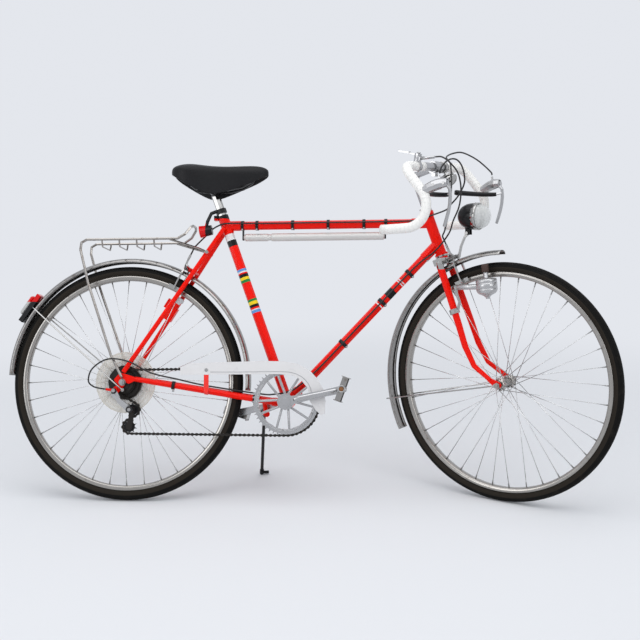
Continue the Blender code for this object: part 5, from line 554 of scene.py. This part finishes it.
# Freewheel and guard disc: five oiled steel sprockets, and a clear plastic disc that keeps the chain off
# the spokes. The disc is pressed in rings, and grimy towards its middle.
oily = surface("oiled_steel", (0.014, 0.012, 0.010), 0.38, metal=0.2, mottle=0.25, grain=0.06, fine=900.0,
               soil=(0.030, 0.018, 0.010), soiled=0.44, shine=0.3)
clear = surface("clear_disc", (0.66, 0.63, 0.56), 0.20, mottle=0.08, grain=0.02, fine=200.0, worn_edge=0.0)
clear.node_tree.nodes["Principled BSDF"].inputs["Alpha"].default_value = 0.52
disc_finish = clear.copy()
tree = disc_finish.node_tree
shader = tree.nodes["Principled BSDF"]
where = node(tree, "TexCoord").outputs["Object"]
from_hub = node(tree, "VectorMath", {0: where, 1: stood @ Vector((0, -0.03, 0.345))},
                operation="DISTANCE").outputs["Value"]
waves = node(tree, "Math", {0: from_hub, 1: 0.0062}, operation="PINGPONG").outputs[0]
pressed = node(tree, "MapRange", {0: waves, 1: 0.0006, 2: 0.0016, 3: 0.80, 4: 0.46})
tree.links.new(pressed.outputs[0], shader.inputs["Alpha"])
grime = node(tree, "MapRange", {0: from_hub, 1: 0.036, 2: 0.072, 3: 0.85, 4: 0.0}).outputs[0]
plain = shader.inputs["Base Color"].links[0].from_socket
smear = node(tree, "Mix", {0: grime, 6: plain, 7: (0.06, 0.045, 0.03, 1)}, data_type="RGBA")
tree.links.new(smear.outputs[2], shader.inputs["Base Color"])
dress(oily, "freewheel")
dress(disc_finish, "spoke_guard")

# Derailleur: alloy body with black pivots on the dropout's hanger, and a steel cage with two plastic
# pulleys. Plated screw heads close its hanger bolt and the cage's pivot.
changer_finish = alloy
for pivot_at in ((-0.020, 0, 0.321), (0.026, 0, 0.266)):
    changer_finish = trim(changer_finish, stood, *moulding, (pivot_at, (0, 1, 0), 0.0, 0.0098, "round"))
dress(changer_finish, "derailleur_body")
dress(oily, "derailleur_cage")
dress(black, "upper_pulley", "lower_pulley")
heads = [bar((-0.020, -0.0840, 0.321), (-0.020, -0.0905, 0.321), 0.0062, 6),
         bar((0.026, -0.0845, 0.266), (0.026, -0.0880, 0.266), 0.0050, 24)]
piece("derailleur_screws", heads, stood, steel, "derailleur")

# Chain: half-inch bicycle chain of 120 links, pinned alternately through outer and inner side plates. It
# runs over the middle sprocket and the chainring, and back round the two pulleys of the sprung cage.
line_y = -0.0435
pitch, link_count = 0.0127, 120
sprocket_teeth, ring_teeth, pulley_teeth = 18, 48, 10
drive, ring, pulley = [0.5 * pitch / sin(pi / teeth) for teeth in (sprocket_teeth, ring_teeth, pulley_teeth)]
wheels = [((0.0, 0.345), drive, 1), ((0.476, 0.289), ring, 1), ((0.0175255, 0.2167234), pulley, 1),
          ((0.026, 0.266), pulley, -1)]
runs = []
for (c1, r1, s1), (c2, r2, s2) in zip(wheels, wheels[1:] + wheels[:1]):
    dx, dz = c2[0] - c1[0], c2[1] - c1[1]
    phi = atan2(dz, dx) - asin((s1 * r1 - s2 * r2) / hypot(dx, dz))
    nx, nz = -sin(phi), cos(phi)
    runs.append(((c1[0] + s1 * r1 * nx, c1[1] + s1 * r1 * nz), (c2[0] + s2 * r2 * nx, c2[1] + s2 * r2 * nz)))
trail = []
for i in range(4):
    (ax, az), (bx, bz) = runs[i]
    steps = max(2, int(hypot(bx - ax, bz - az) / 0.002))
    trail += [(ax + (bx - ax) * k / steps, az + (bz - az) * k / steps) for k in range(steps)]
    (cx, cz), radius, sense = wheels[(i + 1) % 4]
    c = runs[(i + 1) % 4][0]
    a1, a2 = atan2(bz - cz, bx - cx), atan2(c[1] - cz, c[0] - cx)
    turned = (a1 - a2) % (2 * pi) if sense > 0 else (a2 - a1) % (2 * pi)
    steps = max(2, int(radius * turned / 0.002))
    trail += [(cx + radius * cos(a1 - sense * turned * k / steps),
               cz + radius * sin(a1 - sense * turned * k / steps)) for k in range(steps)]
pins = [Vector(trail[0])]
path = trail + trail[:1]
for p, q in zip(path, path[1:]):
    p, q = Vector(p), Vector(q)
    while (q - pins[-1]).length >= pitch and len(pins) < link_count:
        lo, hi = 0.0, 1.0
        for _ in range(24):
            mid = (lo + hi) / 2
            if (p.lerp(q, mid) - pins[-1]).length < pitch:
                lo = mid
            else:
                hi = mid
        pins.append(p.lerp(q, hi))


def link_plate(a, b, y, thick):
    """Side plate with round ends and a drawn-in waist."""
    ahead = (b - a).normalized()
    across = Vector((-ahead.y, ahead.x))
    outline = []
    for end, facing in ((b, ahead), (a, -ahead)):
        aside = across if end is b else -across
        for k in range(9):
            t = radians(108 - 27 * k)
            outline.append(end + facing * (0.0043 * cos(t)) + aside * (0.0043 * sin(t)))
        outline.append((a + b) / 2 - aside * 0.0019)
    bm = bmesh.new()
    face = bm.faces.new([bm.verts.new((p.x, y, p.y)) for p in outline])
    made = bmesh.ops.extrude_face_region(bm, geom=[face])
    moved = [v for v in made["geom"] if isinstance(v, bmesh.types.BMVert)]
    bmesh.ops.translate(bm, vec=(0, thick, 0), verts=moved)
    bmesh.ops.recalc_face_normals(bm, faces=bm.faces)
    return bm


links, pegs = [], []
for i, p in enumerate(pins):
    q = pins[(i + 1) % len(pins)]
    out = 0.0022 if i % 2 else 0.0013
    links.append(link_plate(p, q, line_y + out, 0.0008))
    links.append(link_plate(p, q, line_y - out - 0.0008, 0.0008))
    pegs.append(sweep([(p.x, line_y - 0.0031, p.y), (p.x, line_y + 0.0031, p.y)], 0.0016, 8))
    pegs.append(sweep([(p.x, line_y - 0.0012, p.y), (p.x, line_y + 0.0012, p.y)], 0.0036, 12))
piece("chain_links", links, stood, oily, "frame", "chain")
piece("chain_rollers", pegs, stood, oily, "frame")

# Chain guard: pressed sheet in off-white enamel, on a red strut from the chainstay with one screw at its
# head. A thin grey bar along its lower edge is painted shade, for the dark line at the step pressed there.
white = surface("off_white_enamel", (0.70, 0.69, 0.69), 0.30, coat=0.4, mottle=0.04, grain=0.01, fine=200.0,
                soil=(0.52, 0.49, 0.45), soiled=0.28)
guard_finish = trim(white, stood, (0.86, 0.012, 0.003), 0.0, 0.22, ((0, 0, 0), (0, 0, 1), 0.25, 0.3668),
                    ((0, 0, 0), (1, 0, 0), 0.2, 0.27))
dress(guard_finish, "chain_guard")
screw = [bar((0.2445, -0.0529, 0.3805), (0.2445, -0.0541, 0.3805), 0.0052),
         bar((0.2445, -0.0541, 0.3805), (0.2445, -0.0556, 0.3805), 0.0034, 6)]
piece("guard_screws", screw, stood, steel, "frame")
# Painted shade: this thin bar's grey stands for the dark line of shade at the guard's pressed lower step.
groove_shade_grey = surface("painted_groove_shade", (0.33, 0.33, 0.34), 0.4, mottle=0.1, grain=0.02, fine=300.0)
rolled = [(0.256, 0.3745), (0.330, 0.3745), (0.400, 0.3750), (0.462, 0.3755), (0.497, 0.3715),
          (0.526, 0.3575), (0.545, 0.3340), (0.552, 0.3090)]
piece("guard_shade_line", sweep(spline([(x, -0.0524, z) for x, z in rolled], 40), 0.0008, 8), stood, groove_shade_grey,
      "frame")

# Rim brakes: chromed forged arms, two to each wheel, that pivot on one bolt.
# The front pair hangs at the fork crown and the rear pair at the seatstay bridge.
dress(chrome, "rear_brake_arm_right", "rear_brake_arm_left", "front_brake_arm_right", "front_brake_arm_left")

# Handlebar: bent alloy tube, bare and thicker at the stem, and wound with white cloth tape to its ends.
# Each turn of tape overlaps the last, which shows as a slanting step in its relief. Plugs close the ends.
tape = surface("cloth_tape", (0.88, 0.87, 0.84), 0.70, mottle=0.04, grain=0.5, fine=1500.0,
               soil=(0.66, 0.60, 0.50), soiled=0.32, worn_edge=0.0)
dress(alloy, "stem", "shift_lever")
wound = tape.copy()
tree = wound.node_tree
tape_lap = 0.0125
split = node(tree, "SeparateXYZ", {0: node(tree, "UVMap").outputs[0]})
climb = node(tree, "Math", {0: split.outputs[1], 1: tape_lap, 2: split.outputs[0]},
             operation="MULTIPLY_ADD").outputs[0]
turns = node(tree, "Math", {0: climb, 1: tape_lap}, operation="MODULO").outputs[0]
emboss(tree, node(tree, "MapRange", {0: turns, 2: tape_lap}).outputs[0], 1.0, 0.0012)

grip = []
for s in (1, -1):
    x, z = 0.914, 0.969
    hook = [(0.919 + 0.062 * cos(a), 0.860 + 0.062 * sin(a), a)
            for a in [radians(33) + radians(-123) * k / 28 for k in range(29)]]
    corner = Vector((x, s * 0.190, z))
    ramp = (Vector((hook[0][0] - x, 0, hook[0][1] - z))).normalized() * 0.042
    line = [Vector((x, s * y, z)) for y in (0.072, 0.09, 0.11, 0.13)]
    for k in range(11):
        t = k / 10
        before_bend = (corner - Vector((0, s * 0.042, 0))).lerp(corner, t)
        line.append(before_bend.lerp(corner.lerp(corner + ramp, t), t))
    line.append(corner.lerp(Vector((hook[0][0], s * 0.190, hook[0][1])), 0.75))
    line += [Vector((hx, s * (0.190 + 0.012 * 0.7 * k / 28), hz)) for k, (hx, hz, a) in enumerate(hook)]
    line += [Vector((0.900, s * 0.1995, 0.7975)), Vector((0.870, s * 0.201, 0.797)),
             Vector((0.843, s * 0.202, 0.797))]
    grip.append(sweep(line, 0.0136, 24))
piece("bar_tape", grip, steered, wound, "front", "handlebar")
grip = [sweep([(0.914, y, 0.969) for y in (-0.073, -0.069, -0.03, 0.03, 0.069, 0.073)],
              [0.0120, 0.0127, 0.0127, 0.0127, 0.0127, 0.0120], 32)]
up = Vector((0.22, 0, 0.975)).normalized()
mount = Vector((0.914, -0.110, 0.969))
grip.append(sweep([mount + Vector((0, y, 0)) for y in (-0.006, -0.0055, 0.0055, 0.006)],
                  [0.0158, 0.0164, 0.0164, 0.0158], 32))
grip.append(bar(mount, mount + up * 0.0297, 0.0105, 32))
grip.append(bar(mount + up * 0.022, mount + up * 0.0405, 0.003))
grip.append(bar(mount + up * 0.0363, mount + up * 0.040, 0.0055, 6))
grip.append(sweep([mount + up * 0.022, Vector((0.972, -0.110, 0.9905))], [0.0052, 0.0036], 16))
piece("bar_middle", grip, steered, alloy, "front")
piece("bar_plugs", [sweep([(0.8432, s * 0.202, 0.797), (0.8430, s * 0.202, 0.797)], 0.0125, 24)
                    for s in (1, -1)], steered, black, "front")

# Brake levers: silver bodies clamped to the bends, with alloy levers and plated pins. The safety levers run
# back under the tops in black plastic covers.
silver = surface("silver_paint", (0.46, 0.46, 0.465), 0.28, metal=0.75, coat=0.2, mottle=0.05, grain=0.02,
                 fine=500.0)
dress(silver, "right_lever_hood", "left_lever_hood")
dress(alloy, "right_brake_lever", "left_brake_lever")
for name, side in (("right", -1), ("left", 1)):
    py = side * 0.176
    run = spline([(1.034, py - side * 0.015, 0.883), (1.020, py - side * 0.019, 0.883),
                  (0.985, py - side * 0.031, 0.886), (0.950, py - side * 0.0566, 0.891),
                  (0.926, py - side * 0.074, 0.895)], 28)
    sizes = [0.0050] + [0.0058 + 0.0022 * k / 26 for k in range(26)] + [0.0060]
    piece(name + "_safety_cover", sweep(run, sizes, 16), steered, black, name + "_lever")
    heads = [bar((1.034, py + side * 0.0140, 0.914), (1.034, py + side * 0.0166, 0.914), 0.0046),
             bar((1.006, side * 0.1960, 0.9105), (1.006, side * 0.1985, 0.9105), 0.0042)]
    piece(name + "_lever_pin", heads, steered, steel, "front")

# Bell: a pressed and chromed dome with its striker plate behind it.
# It hangs below the bar on a clip.
hang = Vector((0.42, 0.0, -0.907)).normalized()
under_bar = Vector((0.914, 0.054, 0.969))
dome = [(0.0, 0.0600), (0.0060, 0.0597), (0.0120, 0.0583), (0.0170, 0.0560), (0.0212, 0.0526),
        (0.0245, 0.0480), (0.0264, 0.0430), (0.0270, 0.0375), (0.0262, 0.0372), (0.0235, 0.0440),
        (0.0, 0.0460)]
striker = [(0.0, 0.0335), (0.0215, 0.0335), (0.0215, 0.0270), (0.0, 0.0270)]
strap = [(0.0131, -0.006), (0.0172, -0.006), (0.0172, 0.006), (0.0131, 0.006)]
bell = [revolve(dome, standing(under_bar, hang), 48),
        bar(under_bar + hang * 0.014, under_bar + hang * 0.046, 0.005),
        revolve(striker, standing(under_bar, hang), 40),
        revolve(strap, standing(under_bar, (0, 1, 0)), 40, closed=True)]
piece("bell_dome", bell, steered, chrome, "front", "bell")

# Saddle: foam under a black grained cover, narrow in front and flared behind, with a skirt at each side. It
# is drawn as stations from back to nose and smoothed.
vinyl = surface("grained_vinyl", (0.009, 0.009, 0.010), 0.40, mottle=0.2, grain=0.35, fine=950.0, shine=0.16,
                worn_edge=0.0)
post_finish = trim(chrome, stood, *moulding, ((0, 0, 0), (0, 0, 1), 0.895, 1.0))
dress(post_finish, "seat_post")
stations = [(0.133, 0.040, 0.975, 0.968, 0.961), (0.146, 0.066, 0.987, 0.974, 0.949),
            (0.182, 0.077, 0.992, 0.974, 0.927), (0.214, 0.072, 0.989, 0.972, 0.909),
            (0.245, 0.059, 0.985, 0.970, 0.894), (0.287, 0.040, 0.984, 0.968, 0.903),
            (0.329, 0.031, 0.985, 0.968, 0.918), (0.376, 0.027, 0.986, 0.968, 0.936),
            (0.402, 0.021, 0.982, 0.967, 0.949), (0.413, 0.013, 0.976, 0.966, 0.957),
            (0.417, 0.006, 0.971, 0.966, 0.961)]
pad = bmesh.new()
number = pad.verts.layers.int.new("number")
rim_edges, rim_spots = [], []
for x, w, top, edge, skirt in stations:
    w = w * 1.04 + 0.001
    under = max(min(top - 0.030, edge - 0.006), skirt - 0.002)
    low = min(skirt, under) - 0.002
    half = [(0.30 * w, top), (0.62 * w, top - 0.003), (0.90 * w, edge + 0.004), (w, edge - 0.005),
            (0.98 * w, (edge + low) / 2), (0.96 * w, low + 0.003), (0.955 * w, low), (0.93 * w - 0.003, low),
            (0.90 * w - 0.006, low + 0.006), (0.55 * w, under)]
    loop = [(0, top + 0.0005)] + half + [(0, under)] + [(-y, z) for y, z in half[::-1]]
    spots = [Vector((x, y, z)) for y, z in loop]
    if rim_edges:
        edges = draw_on(pad, edges, spots, number)
    else:
        verts = [pad.verts.new(spot) for spot in spots]
        for k, vert in enumerate(verts):
            vert[number] = k
        edges = [pad.edges.new(pair) for pair in zip(verts, verts[1:] + verts[:1])]
    rim_edges, rim_spots = rim_edges + [edges], rim_spots + [spots]
for edges, spots in ((rim_edges[0], rim_spots[0]), (rim_edges[-1], rim_spots[-1])):
    draw_on(pad, edges, [sum(spots, Vector()) / len(spots)] * len(spots), number)
pad.verts.layers.int.remove(number)
bmesh.ops.remove_doubles(pad, verts=pad.verts, dist=1e-6)
bmesh.ops.recalc_face_normals(pad, faces=pad.faces)
for f in pad.faces:
    f.smooth = True
saddle = piece("saddle_cover", pad, stood, vinyl, "frame", "saddle")
smooth = saddle.modifiers.new("smooth", "SUBSURF")
smooth.levels = 2
smooth.render_levels = 2

# Carrier, pump and wheel lock: a bent wire carrier gone dull, a grey enamelled pump on pegs under the top
# tube, and a ring lock with a bright barrel on the left seatstay.
pump_grey = surface("pump_enamel", (0.60, 0.59, 0.57), 0.32, metal=0.25, coat=0.2, mottle=0.05, grain=0.02,
                    fine=400.0, soil=(0.38, 0.33, 0.26), soiled=0.33)
stay_foot, stay_top = Vector((-0.004, 0.0628, 0.366)), Vector((0.289, 0.018, 0.8))
stay = (stay_top - stay_foot).normalized()
barrel = stay_foot.lerp(stay_top, (0.560 - 0.366) / (0.8 - 0.366))
lock_finish = trim(red, stood, (0.60, 0.60, 0.61), 0.8, 0.25, (barrel, stay, 0.0265, 0.08))
dress(rusty, "rack")
dress(pump_grey, "pump")
dress(lock_finish, "wheel_lock")

# Foot of the prop stand: a steel rod, enamelled black.
# It is bent forward at its end, so that it doesn't sink into soft ground.
dress(black, "kickstand")
toe = [(0.3672, 0.2290, 0.0727), (0.3668, 0.2330, 0.0700), (0.3720, 0.2352, 0.0694),
       (0.3800, 0.2352, 0.0694), (0.3880, 0.2350, 0.0698)]
piece("stand_foot", sweep(spline(toe, 24), 0.0049, 16), stood, black, "stand")

# Headlamp: round black shell on a forked ear, with a white bowl, a bulb and a fluted glass in a plated rim.
# Bowl and bulb are plain white and the glass is pale grey, standing in for reflected light as painted
# reflection. It tilts on a screw through the bracket that stands on the fork crown.
# The glass is half see-through and pale grey; its pale tint is painted reflection, in place of light given
# back by clear glass.
glass = surface("clear_lens", (0.78, 0.79, 0.78), 0.06, mottle=0.01, grain=0.02, fine=120.0, worn_edge=0.0)
optics = glass.node_tree.nodes["Principled BSDF"]
optics.inputs["IOR"].default_value = 1.49
optics.inputs["Alpha"].default_value = 0.45
aim = Vector((0.998, 0, -0.055)).normalized()
lamp = standing((1.037, 0, 0.8205), aim)
case = [(0.0, -0.0515), (0.0085, -0.0508), (0.0165, -0.0480), (0.0235, -0.0430), (0.0290, -0.0370),
        (0.0350, -0.0245), (0.0372, -0.0130), (0.0378, -0.0020), (0.0378, 0.0), (0.0355, 0.0),
        (0.0340, -0.0130), (0.0250, -0.0300), (0.0, -0.0330)]
ears = [revolve(case, lamp, 48)]
for s in (-1, 1):
    y1, y2 = sorted((s * 0.0065, s * 0.0095))
    ears.append(brick((1.0075, y1, 0.7690), (1.0205, y2, 0.7905)))
piece("lamp_case", ears, steered, black, "headlamp", "headlamp_shell")
bowl = [(0.0352, 0.0003), (0.0330, -0.0100), (0.0260, -0.0215), (0.0150, -0.0285), (0.0050, -0.0300),
        (0.0, -0.0300)]
bowl += [(0.0, -0.0310), (0.0050, -0.0310), (0.0156, -0.0293), (0.0266, -0.0222), (0.0337, -0.0104),
         (0.0354, -0.0004)]
# Bowl and bulb: plain white paint in place of a mirror finish, a painted reflection of the lamps' light.
bright = surface("painted_reflection_white", (0.90, 0.90, 0.89), 0.30, metal=0.15, mottle=0.03, grain=0.01, fine=300.0)
lamp_rim = [(0.0392, 0.0003), (0.0392, 0.0120), (0.0388, 0.0128), (0.0362, 0.0132), (0.0356, 0.0100),
            (0.0356, 0.0003)]
bulb = [(0.0, -0.006), (0.0035, -0.007), (0.0050, -0.011), (0.0042, -0.016), (0.0042, -0.029), (0.0, -0.029)]
piece("lamp_bowl", revolve(bowl, lamp, 48), steered, bright, "headlamp")
piece("lamp_rim", revolve(lamp_rim, lamp, 48, closed=True), steered, chrome, "headlamp")
piece("lamp_bulb", revolve(bulb, lamp, 24), steered, bright, "headlamp")
tree = glass.node_tree
flutes = node(tree, "TexWave", {"Vector": node(tree, "TexCoord").outputs["Object"], "Scale": 60.0},
              bands_direction="Y")
bumps = node(tree, "Bump", {"Height": flutes.outputs["Fac"], "Strength": 0.15, "Distance": 0.001})
tree.links.new(bumps.outputs[0], tree.nodes["Principled BSDF"].inputs["Normal"])
dome = [(0.0, 0.0450), (0.0080, 0.0443), (0.0150, 0.0424), (0.0215, 0.0388), (0.0275, 0.0338),
        (0.0320, 0.0268), (0.0345, 0.0190), (0.0354, 0.0125), (0.0354, 0.0050), (0.0330, 0.0050),
        (0.0330, 0.0125), (0.0322, 0.0185), (0.0298, 0.0258), (0.0256, 0.0321), (0.0200, 0.0367),
        (0.0140, 0.0400), (0.0075, 0.0417), (0.0, 0.0424)]
piece("lamp_glass", revolve(dome, lamp, 48), steered, glass, "headlamp", "headlamp_lens")

# Dynamo: bottle generator with a knurled rubber roller that leans on the tyre wall, on a pivot beside the
# fork. Its pressed case is painted silver, and its bracket is chromed.
dress(chrome, "dynamo_bracket")
upright = Vector((-0.059, 0, 0.998)).normalized()
bottle = standing((1.0807, -0.038, 0.622), upright)
outside = [(0.0, 0.0410), (0.0066, 0.0410), (0.0070, 0.0404), (0.0070, 0.0250), (0.0120, 0.0243),
           (0.0250, 0.0226), (0.0285, 0.0212), (0.0300, 0.0180), (0.0300, 0.0120), (0.0288, 0.0112),
           (0.0300, 0.0104), (0.0300, -0.0040), (0.0288, -0.0048), (0.0300, -0.0056), (0.0300, -0.0100),
           (0.0275, -0.0150), (0.0240, -0.0190), (0.0110, -0.0255), (0.0060, -0.0300), (0.0055, -0.0336),
           (0.0050, -0.0340), (0.0, -0.0340)]
hinge = bar((0.9903, -0.038, 0.622), (1.056, -0.038, 0.622), 0.0075, 24)
piece("dynamo_bottle", [revolve(outside, bottle, 48), hinge], steered, silver, "dynamo", "dynamo_body")
worn_brown = surface("worn_rubber", (0.060, 0.035, 0.028), 0.5, mottle=0.2, grain=0.2, fine=700.0, shine=0.3)
knurl = [(0.0, 0.0413), (0.0090, 0.0413), (0.0100, 0.0425), (0.0100, 0.0600), (0.0090, 0.0636),
         (0.0045, 0.0640), (0.0, 0.0640)]
piece("dynamo_wheel", revolve(knurl, bottle, 48), steered, worn_brown, "roller", "dynamo_roller")

# Cables: each inner wire runs in a black sleeve, from its lever to its caliper or to the derailleur. The rear
# brake's and the gear's cross from the turning front to the frame beside the head tube, and bend there.
foot = Vector((1.0564, 0, 0.3274))


def turned_by(points, share=1.0):
    """Places beside the handlebar, turned with it about the steering line by a share of its angle."""
    turning = Matrix.Rotation(-radians(28.9) * share, 4, rise)
    move = Matrix.Translation(foot) @ turning @ Matrix.Translation(-foot)
    return [tuple(move @ Vector(p)) for p in points]


def into(top, degrees_round):
    """Last places of a sleeve that comes down into its stop."""
    out = Vector((cos(radians(degrees_round)), 0, sin(radians(degrees_round))))
    return [tuple(Vector(top) + out * d) for d in (0.026, 0.013, 0.0006)]


front_run = [(1.016, 0.176, 0.941), (1.011, 0.176, 0.952), (0.981, 0.165, 0.984), (0.955, 0.150, 1.004),
             (0.938, 0.130, 1.013), (0.924, 0.105, 1.010), (0.919, 0.080, 1.003), (0.926, 0.058, 0.995),
             (0.944, 0.044, 0.978), (0.953, 0.030, 0.948), (0.960, 0.012, 0.908), (0.963, -0.006, 0.866),
             (0.960, -0.022, 0.820), (0.954, -0.031, 0.785)]
rear_run = turned_by([(1.017, -0.176, 0.941), (1.023, -0.175, 0.957), (1.034, -0.165, 0.973),
                      (1.045, -0.150, 0.979), (1.052, -0.130, 0.974), (1.052, -0.105, 0.957),
                      (1.046, -0.080, 0.931), (1.034, -0.062, 0.909), (1.007, -0.045, 0.880),
                      (0.980, -0.037, 0.858)])
rear_run += turned_by([(0.948, -0.031, 0.842)], 0.5)
rear_run += [(0.893, -0.0215, 0.826), (0.855, -0.0175, 0.8145), (0.760, -0.0170, 0.812),
             (0.560, -0.0170, 0.812), (0.420, -0.0170, 0.812), (0.330, -0.0190, 0.813),
             (0.291, -0.0208, 0.812), (0.266, -0.0100, 0.806), (0.250, -0.0050, 0.797),
             (0.236, -0.0035, 0.783), (0.221, -0.0130, 0.766)]
gear_run = turned_by([(0.9745, -0.110, 0.9912), (0.994, -0.109, 0.989), (1.013, -0.104, 0.974),
                      (1.030, -0.094, 0.948), (1.034, -0.084, 0.920), (1.028, -0.070, 0.885),
                      (1.014, -0.058, 0.848), (0.990, -0.047, 0.812)])
gear_run += turned_by([(0.957, -0.037, 0.772)], 0.6)
down = Vector(down_line)
head = Vector((0.9143, -0.0165, 0.7472))
gear_run += [(0.905, -0.024, 0.722)] + [tuple(head + down * d) for d in (0.10, 0.28, 0.50)]
gear_run += [(0.503, -0.0225, 0.329), (0.476, -0.0262, 0.3165), (0.440, -0.0310, 0.3105),
             (0.400, -0.0345, 0.3115), (0.2445, -0.0440, 0.3352), (0.160, -0.0560, 0.3540),
             (0.085, -0.066, 0.372), (0.020, -0.0765, 0.405), (-0.040, -0.079, 0.412),
             (-0.085, -0.079, 0.385), (-0.097, -0.0775, 0.350), (-0.083, -0.0735, 0.333)]
stop = Vector((-0.046, -0.0718, 0.325))
away = (stop - Vector((-0.020, -0.0718, 0.321))).normalized()
gear_run += [tuple(stop + away * d) for d in (0.014, 0.0006)]
front_run += into((0.9573, -0.034, 0.7454), 111)
rear_run += into((0.1919, -0.034, 0.7186), 62.5)
sleeve = surface("cable_sleeve", (0.006, 0.006, 0.006), 0.34, mottle=0.15, grain=0.06, fine=600.0)
sleeve_radius = 0.0023
piece("front_brake_sleeve", sweep(spline(front_run, 120), sleeve_radius, 12), steered, sleeve, "front",
      "front_brake_cable")
piece("rear_brake_sleeve", sweep(spline(rear_run, 220), sleeve_radius, 12), stood, sleeve,
      ("frame", "front", stood @ Vector((0.870, 0, 0.805)), stood @ Vector((0.985, 0, 0.870))),
      "rear_brake_cable")
piece("gear_sleeve", sweep(spline(gear_run, 320), sleeve_radius, 12), stood, sleeve,
      ("frame", "front", stood @ Vector((0.880, 0, 0.700)), stood @ Vector((0.990, 0, 0.830))), "gear_cable")

# Clip bands: black plastic strips round the right chainstay, the top tube and the down tube.
# Each holds a cable and is drawn tight by a small screw beneath.
stay_low, stay_high = Vector((0.4590, -0.0207, 0.2850)), Vector((0.0360, -0.0616, 0.3545))
bands, studs = [], []


def clip_band(around, inside, outside, base, top, segments=40):
    """Ring of strip, a little narrower at its outer face."""
    strip = [(inside, -base), (inside, base), (outside, top), (outside, -top)]
    return revolve(strip, around, segments, closed=True)


line = (stay_high - stay_low).normalized()
for at_x in (0.382, 0.148):
    spot = stay_low.lerp(stay_high, (0.459 - at_x) / 0.423)
    bands.append(clip_band(standing(spot, line), 0.0102, 0.0122, 0.0048, 0.0044, 32))
    studs.append(bar(spot + Vector((0, -0.004, -0.0110)), spot + Vector((0, -0.004, -0.0185)), 0.0032, 12))
for x in (0.341, 0.384, 0.490, 0.595, 0.700, 0.764):
    bands.append(clip_band(standing((x, 0, 0.808), (1, 0, 0)), 0.0128, 0.0146, 0.0046, 0.0041))
    studs.append(bar((x, -0.0115, 0.7975), (x, -0.0115, 0.7925), 0.0030, 12))
for far_along in (0.120, 0.235, 0.400):
    spot = Vector(low_head) + Vector(down_line) * far_along
    bands.append(clip_band(standing(spot, down_line), 0.0128, 0.0146, 0.0054, 0.0048))
    tip = spot + Vector((0.0125, -0.008, -0.0125))
    studs.append(bar(spot + Vector((0.0085, -0.008, -0.0085)), tip, 0.0030, 12))
piece("clip_bands", bands, stood, black, "frame")
piece("band_screws", studs, stood, steel, "frame")

# Studio: plain pale floor that fades into the backdrop's colour.
# A wide soft light hangs above, and two weak ones stand at the sides.
backdrop_colour = (0.775, 0.797, 0.845, 1)
floor_bm = bmesh.new()
bmesh.ops.create_circle(floor_bm, cap_ends=True, segments=96, radius=40.0)
floor_mesh = bpy.data.meshes.new("floor")
floor_bm.to_mesh(floor_mesh)
floor = bpy.data.objects.new("floor", floor_mesh)
bpy.context.scene.collection.objects.link(floor)
floor.location = (0, 0, -0.0005)
ground = bpy.data.materials.new("pale_floor")
ground.use_nodes = True
tree = ground.node_tree
shader = tree.nodes["Principled BSDF"]
shader.inputs["Base Color"].default_value = (0.76, 0.77, 0.79, 1)
shader.inputs["Roughness"].default_value = 0.75
shader.inputs["Specular IOR Level"].default_value = 0.15
far = node(tree, "Emission", {"Color": backdrop_colour})
length = node(tree, "VectorMath", {0: node(tree, "TexCoord").outputs["Object"]},
              operation="LENGTH").outputs["Value"]
fade = node(tree, "MapRange", {0: length, 1: 0.9, 2: 2.6}, interpolation_type="SMOOTHSTEP")
blend = node(tree, "MixShader", {0: fade.outputs[0], 1: shader.outputs[0], 2: far.outputs[0]})
tree.links.new(blend.outputs[0], tree.nodes["Material Output"].inputs["Surface"])
floor_mesh.materials.append(ground)

world = bpy.data.worlds.new("studio")
bpy.context.scene.world = world
world.use_nodes = True
tree = world.node_tree
air = tree.nodes["Background"]
air.inputs["Color"].default_value = (0.80, 0.83, 0.88, 1)
air.inputs["Strength"].default_value = 0.72
seen = node(tree, "Background", {"Color": backdrop_colour})
rays = node(tree, "LightPath")
shown = rays.outputs["Is Camera Ray"]
for ray in ("Is Glossy Ray", "Is Transmission Ray"):
    shown = node(tree, "Math", {0: shown, 1: rays.outputs[ray]}, operation="MAXIMUM").outputs[0]
pick = node(tree, "MixShader", {0: shown, 1: air.outputs[0], 2: seen.outputs[0]})
tree.links.new(pick.outputs[0], tree.nodes["World Output"].inputs["Surface"])


def soft_light(name, at, size, watts, aim_at=(0, 0, 0.4)):
    """Wide lamp that faces the machine."""
    data = bpy.data.lights.new(name, "AREA")
    data.shape = "RECTANGLE"
    data.size, data.size_y = size
    data.energy = watts
    lamp_object = bpy.data.objects.new(name, data)
    lamp_object.location = at
    lamp_object.rotation_euler = (Vector(aim_at) - Vector(at)).to_track_quat("-Z", "Y").to_euler()
    bpy.context.scene.collection.objects.link(lamp_object)


soft_light("above", (0.0, -0.6, 3.2), (4.0, 3.0), 58)
soft_light("left_side", (-3.2, -3.0, 1.9), (2.0, 2.0), 32)
soft_light("right_side", (3.2, -2.6, 1.7), (1.6, 2.0), 20)

# Camera: at the photograph's place, low and square to the frame's right side. Its place was solved in the
# frame of the upright bicycle, and leans with it.
yaw, nose_up = radians(-5.32), radians(-4.04)
forward = Vector((sin(yaw) * cos(nose_up), cos(yaw) * cos(nose_up), -sin(nose_up)))
rightward = Vector((cos(yaw), -sin(yaw), 0))
upward = rightward.cross(forward)
seat = Matrix((rightward, upward, -forward)).transposed().to_4x4()
view = bpy.data.cameras.new("camera")
view.sensor_width = 36.0
focal_pixels, photo_pixels = 1117.3, 640
view.lens = focal_pixels / photo_pixels * view.sensor_width
camera = bpy.data.objects.new("camera", view)
camera.matrix_world = stood @ Matrix.Translation((0.8725, -3.2453, 0.2969)) @ seat
bpy.context.scene.collection.objects.link(camera)
bpy.context.scene.camera = camera
bpy.context.scene.view_settings.view_transform = "Standard"
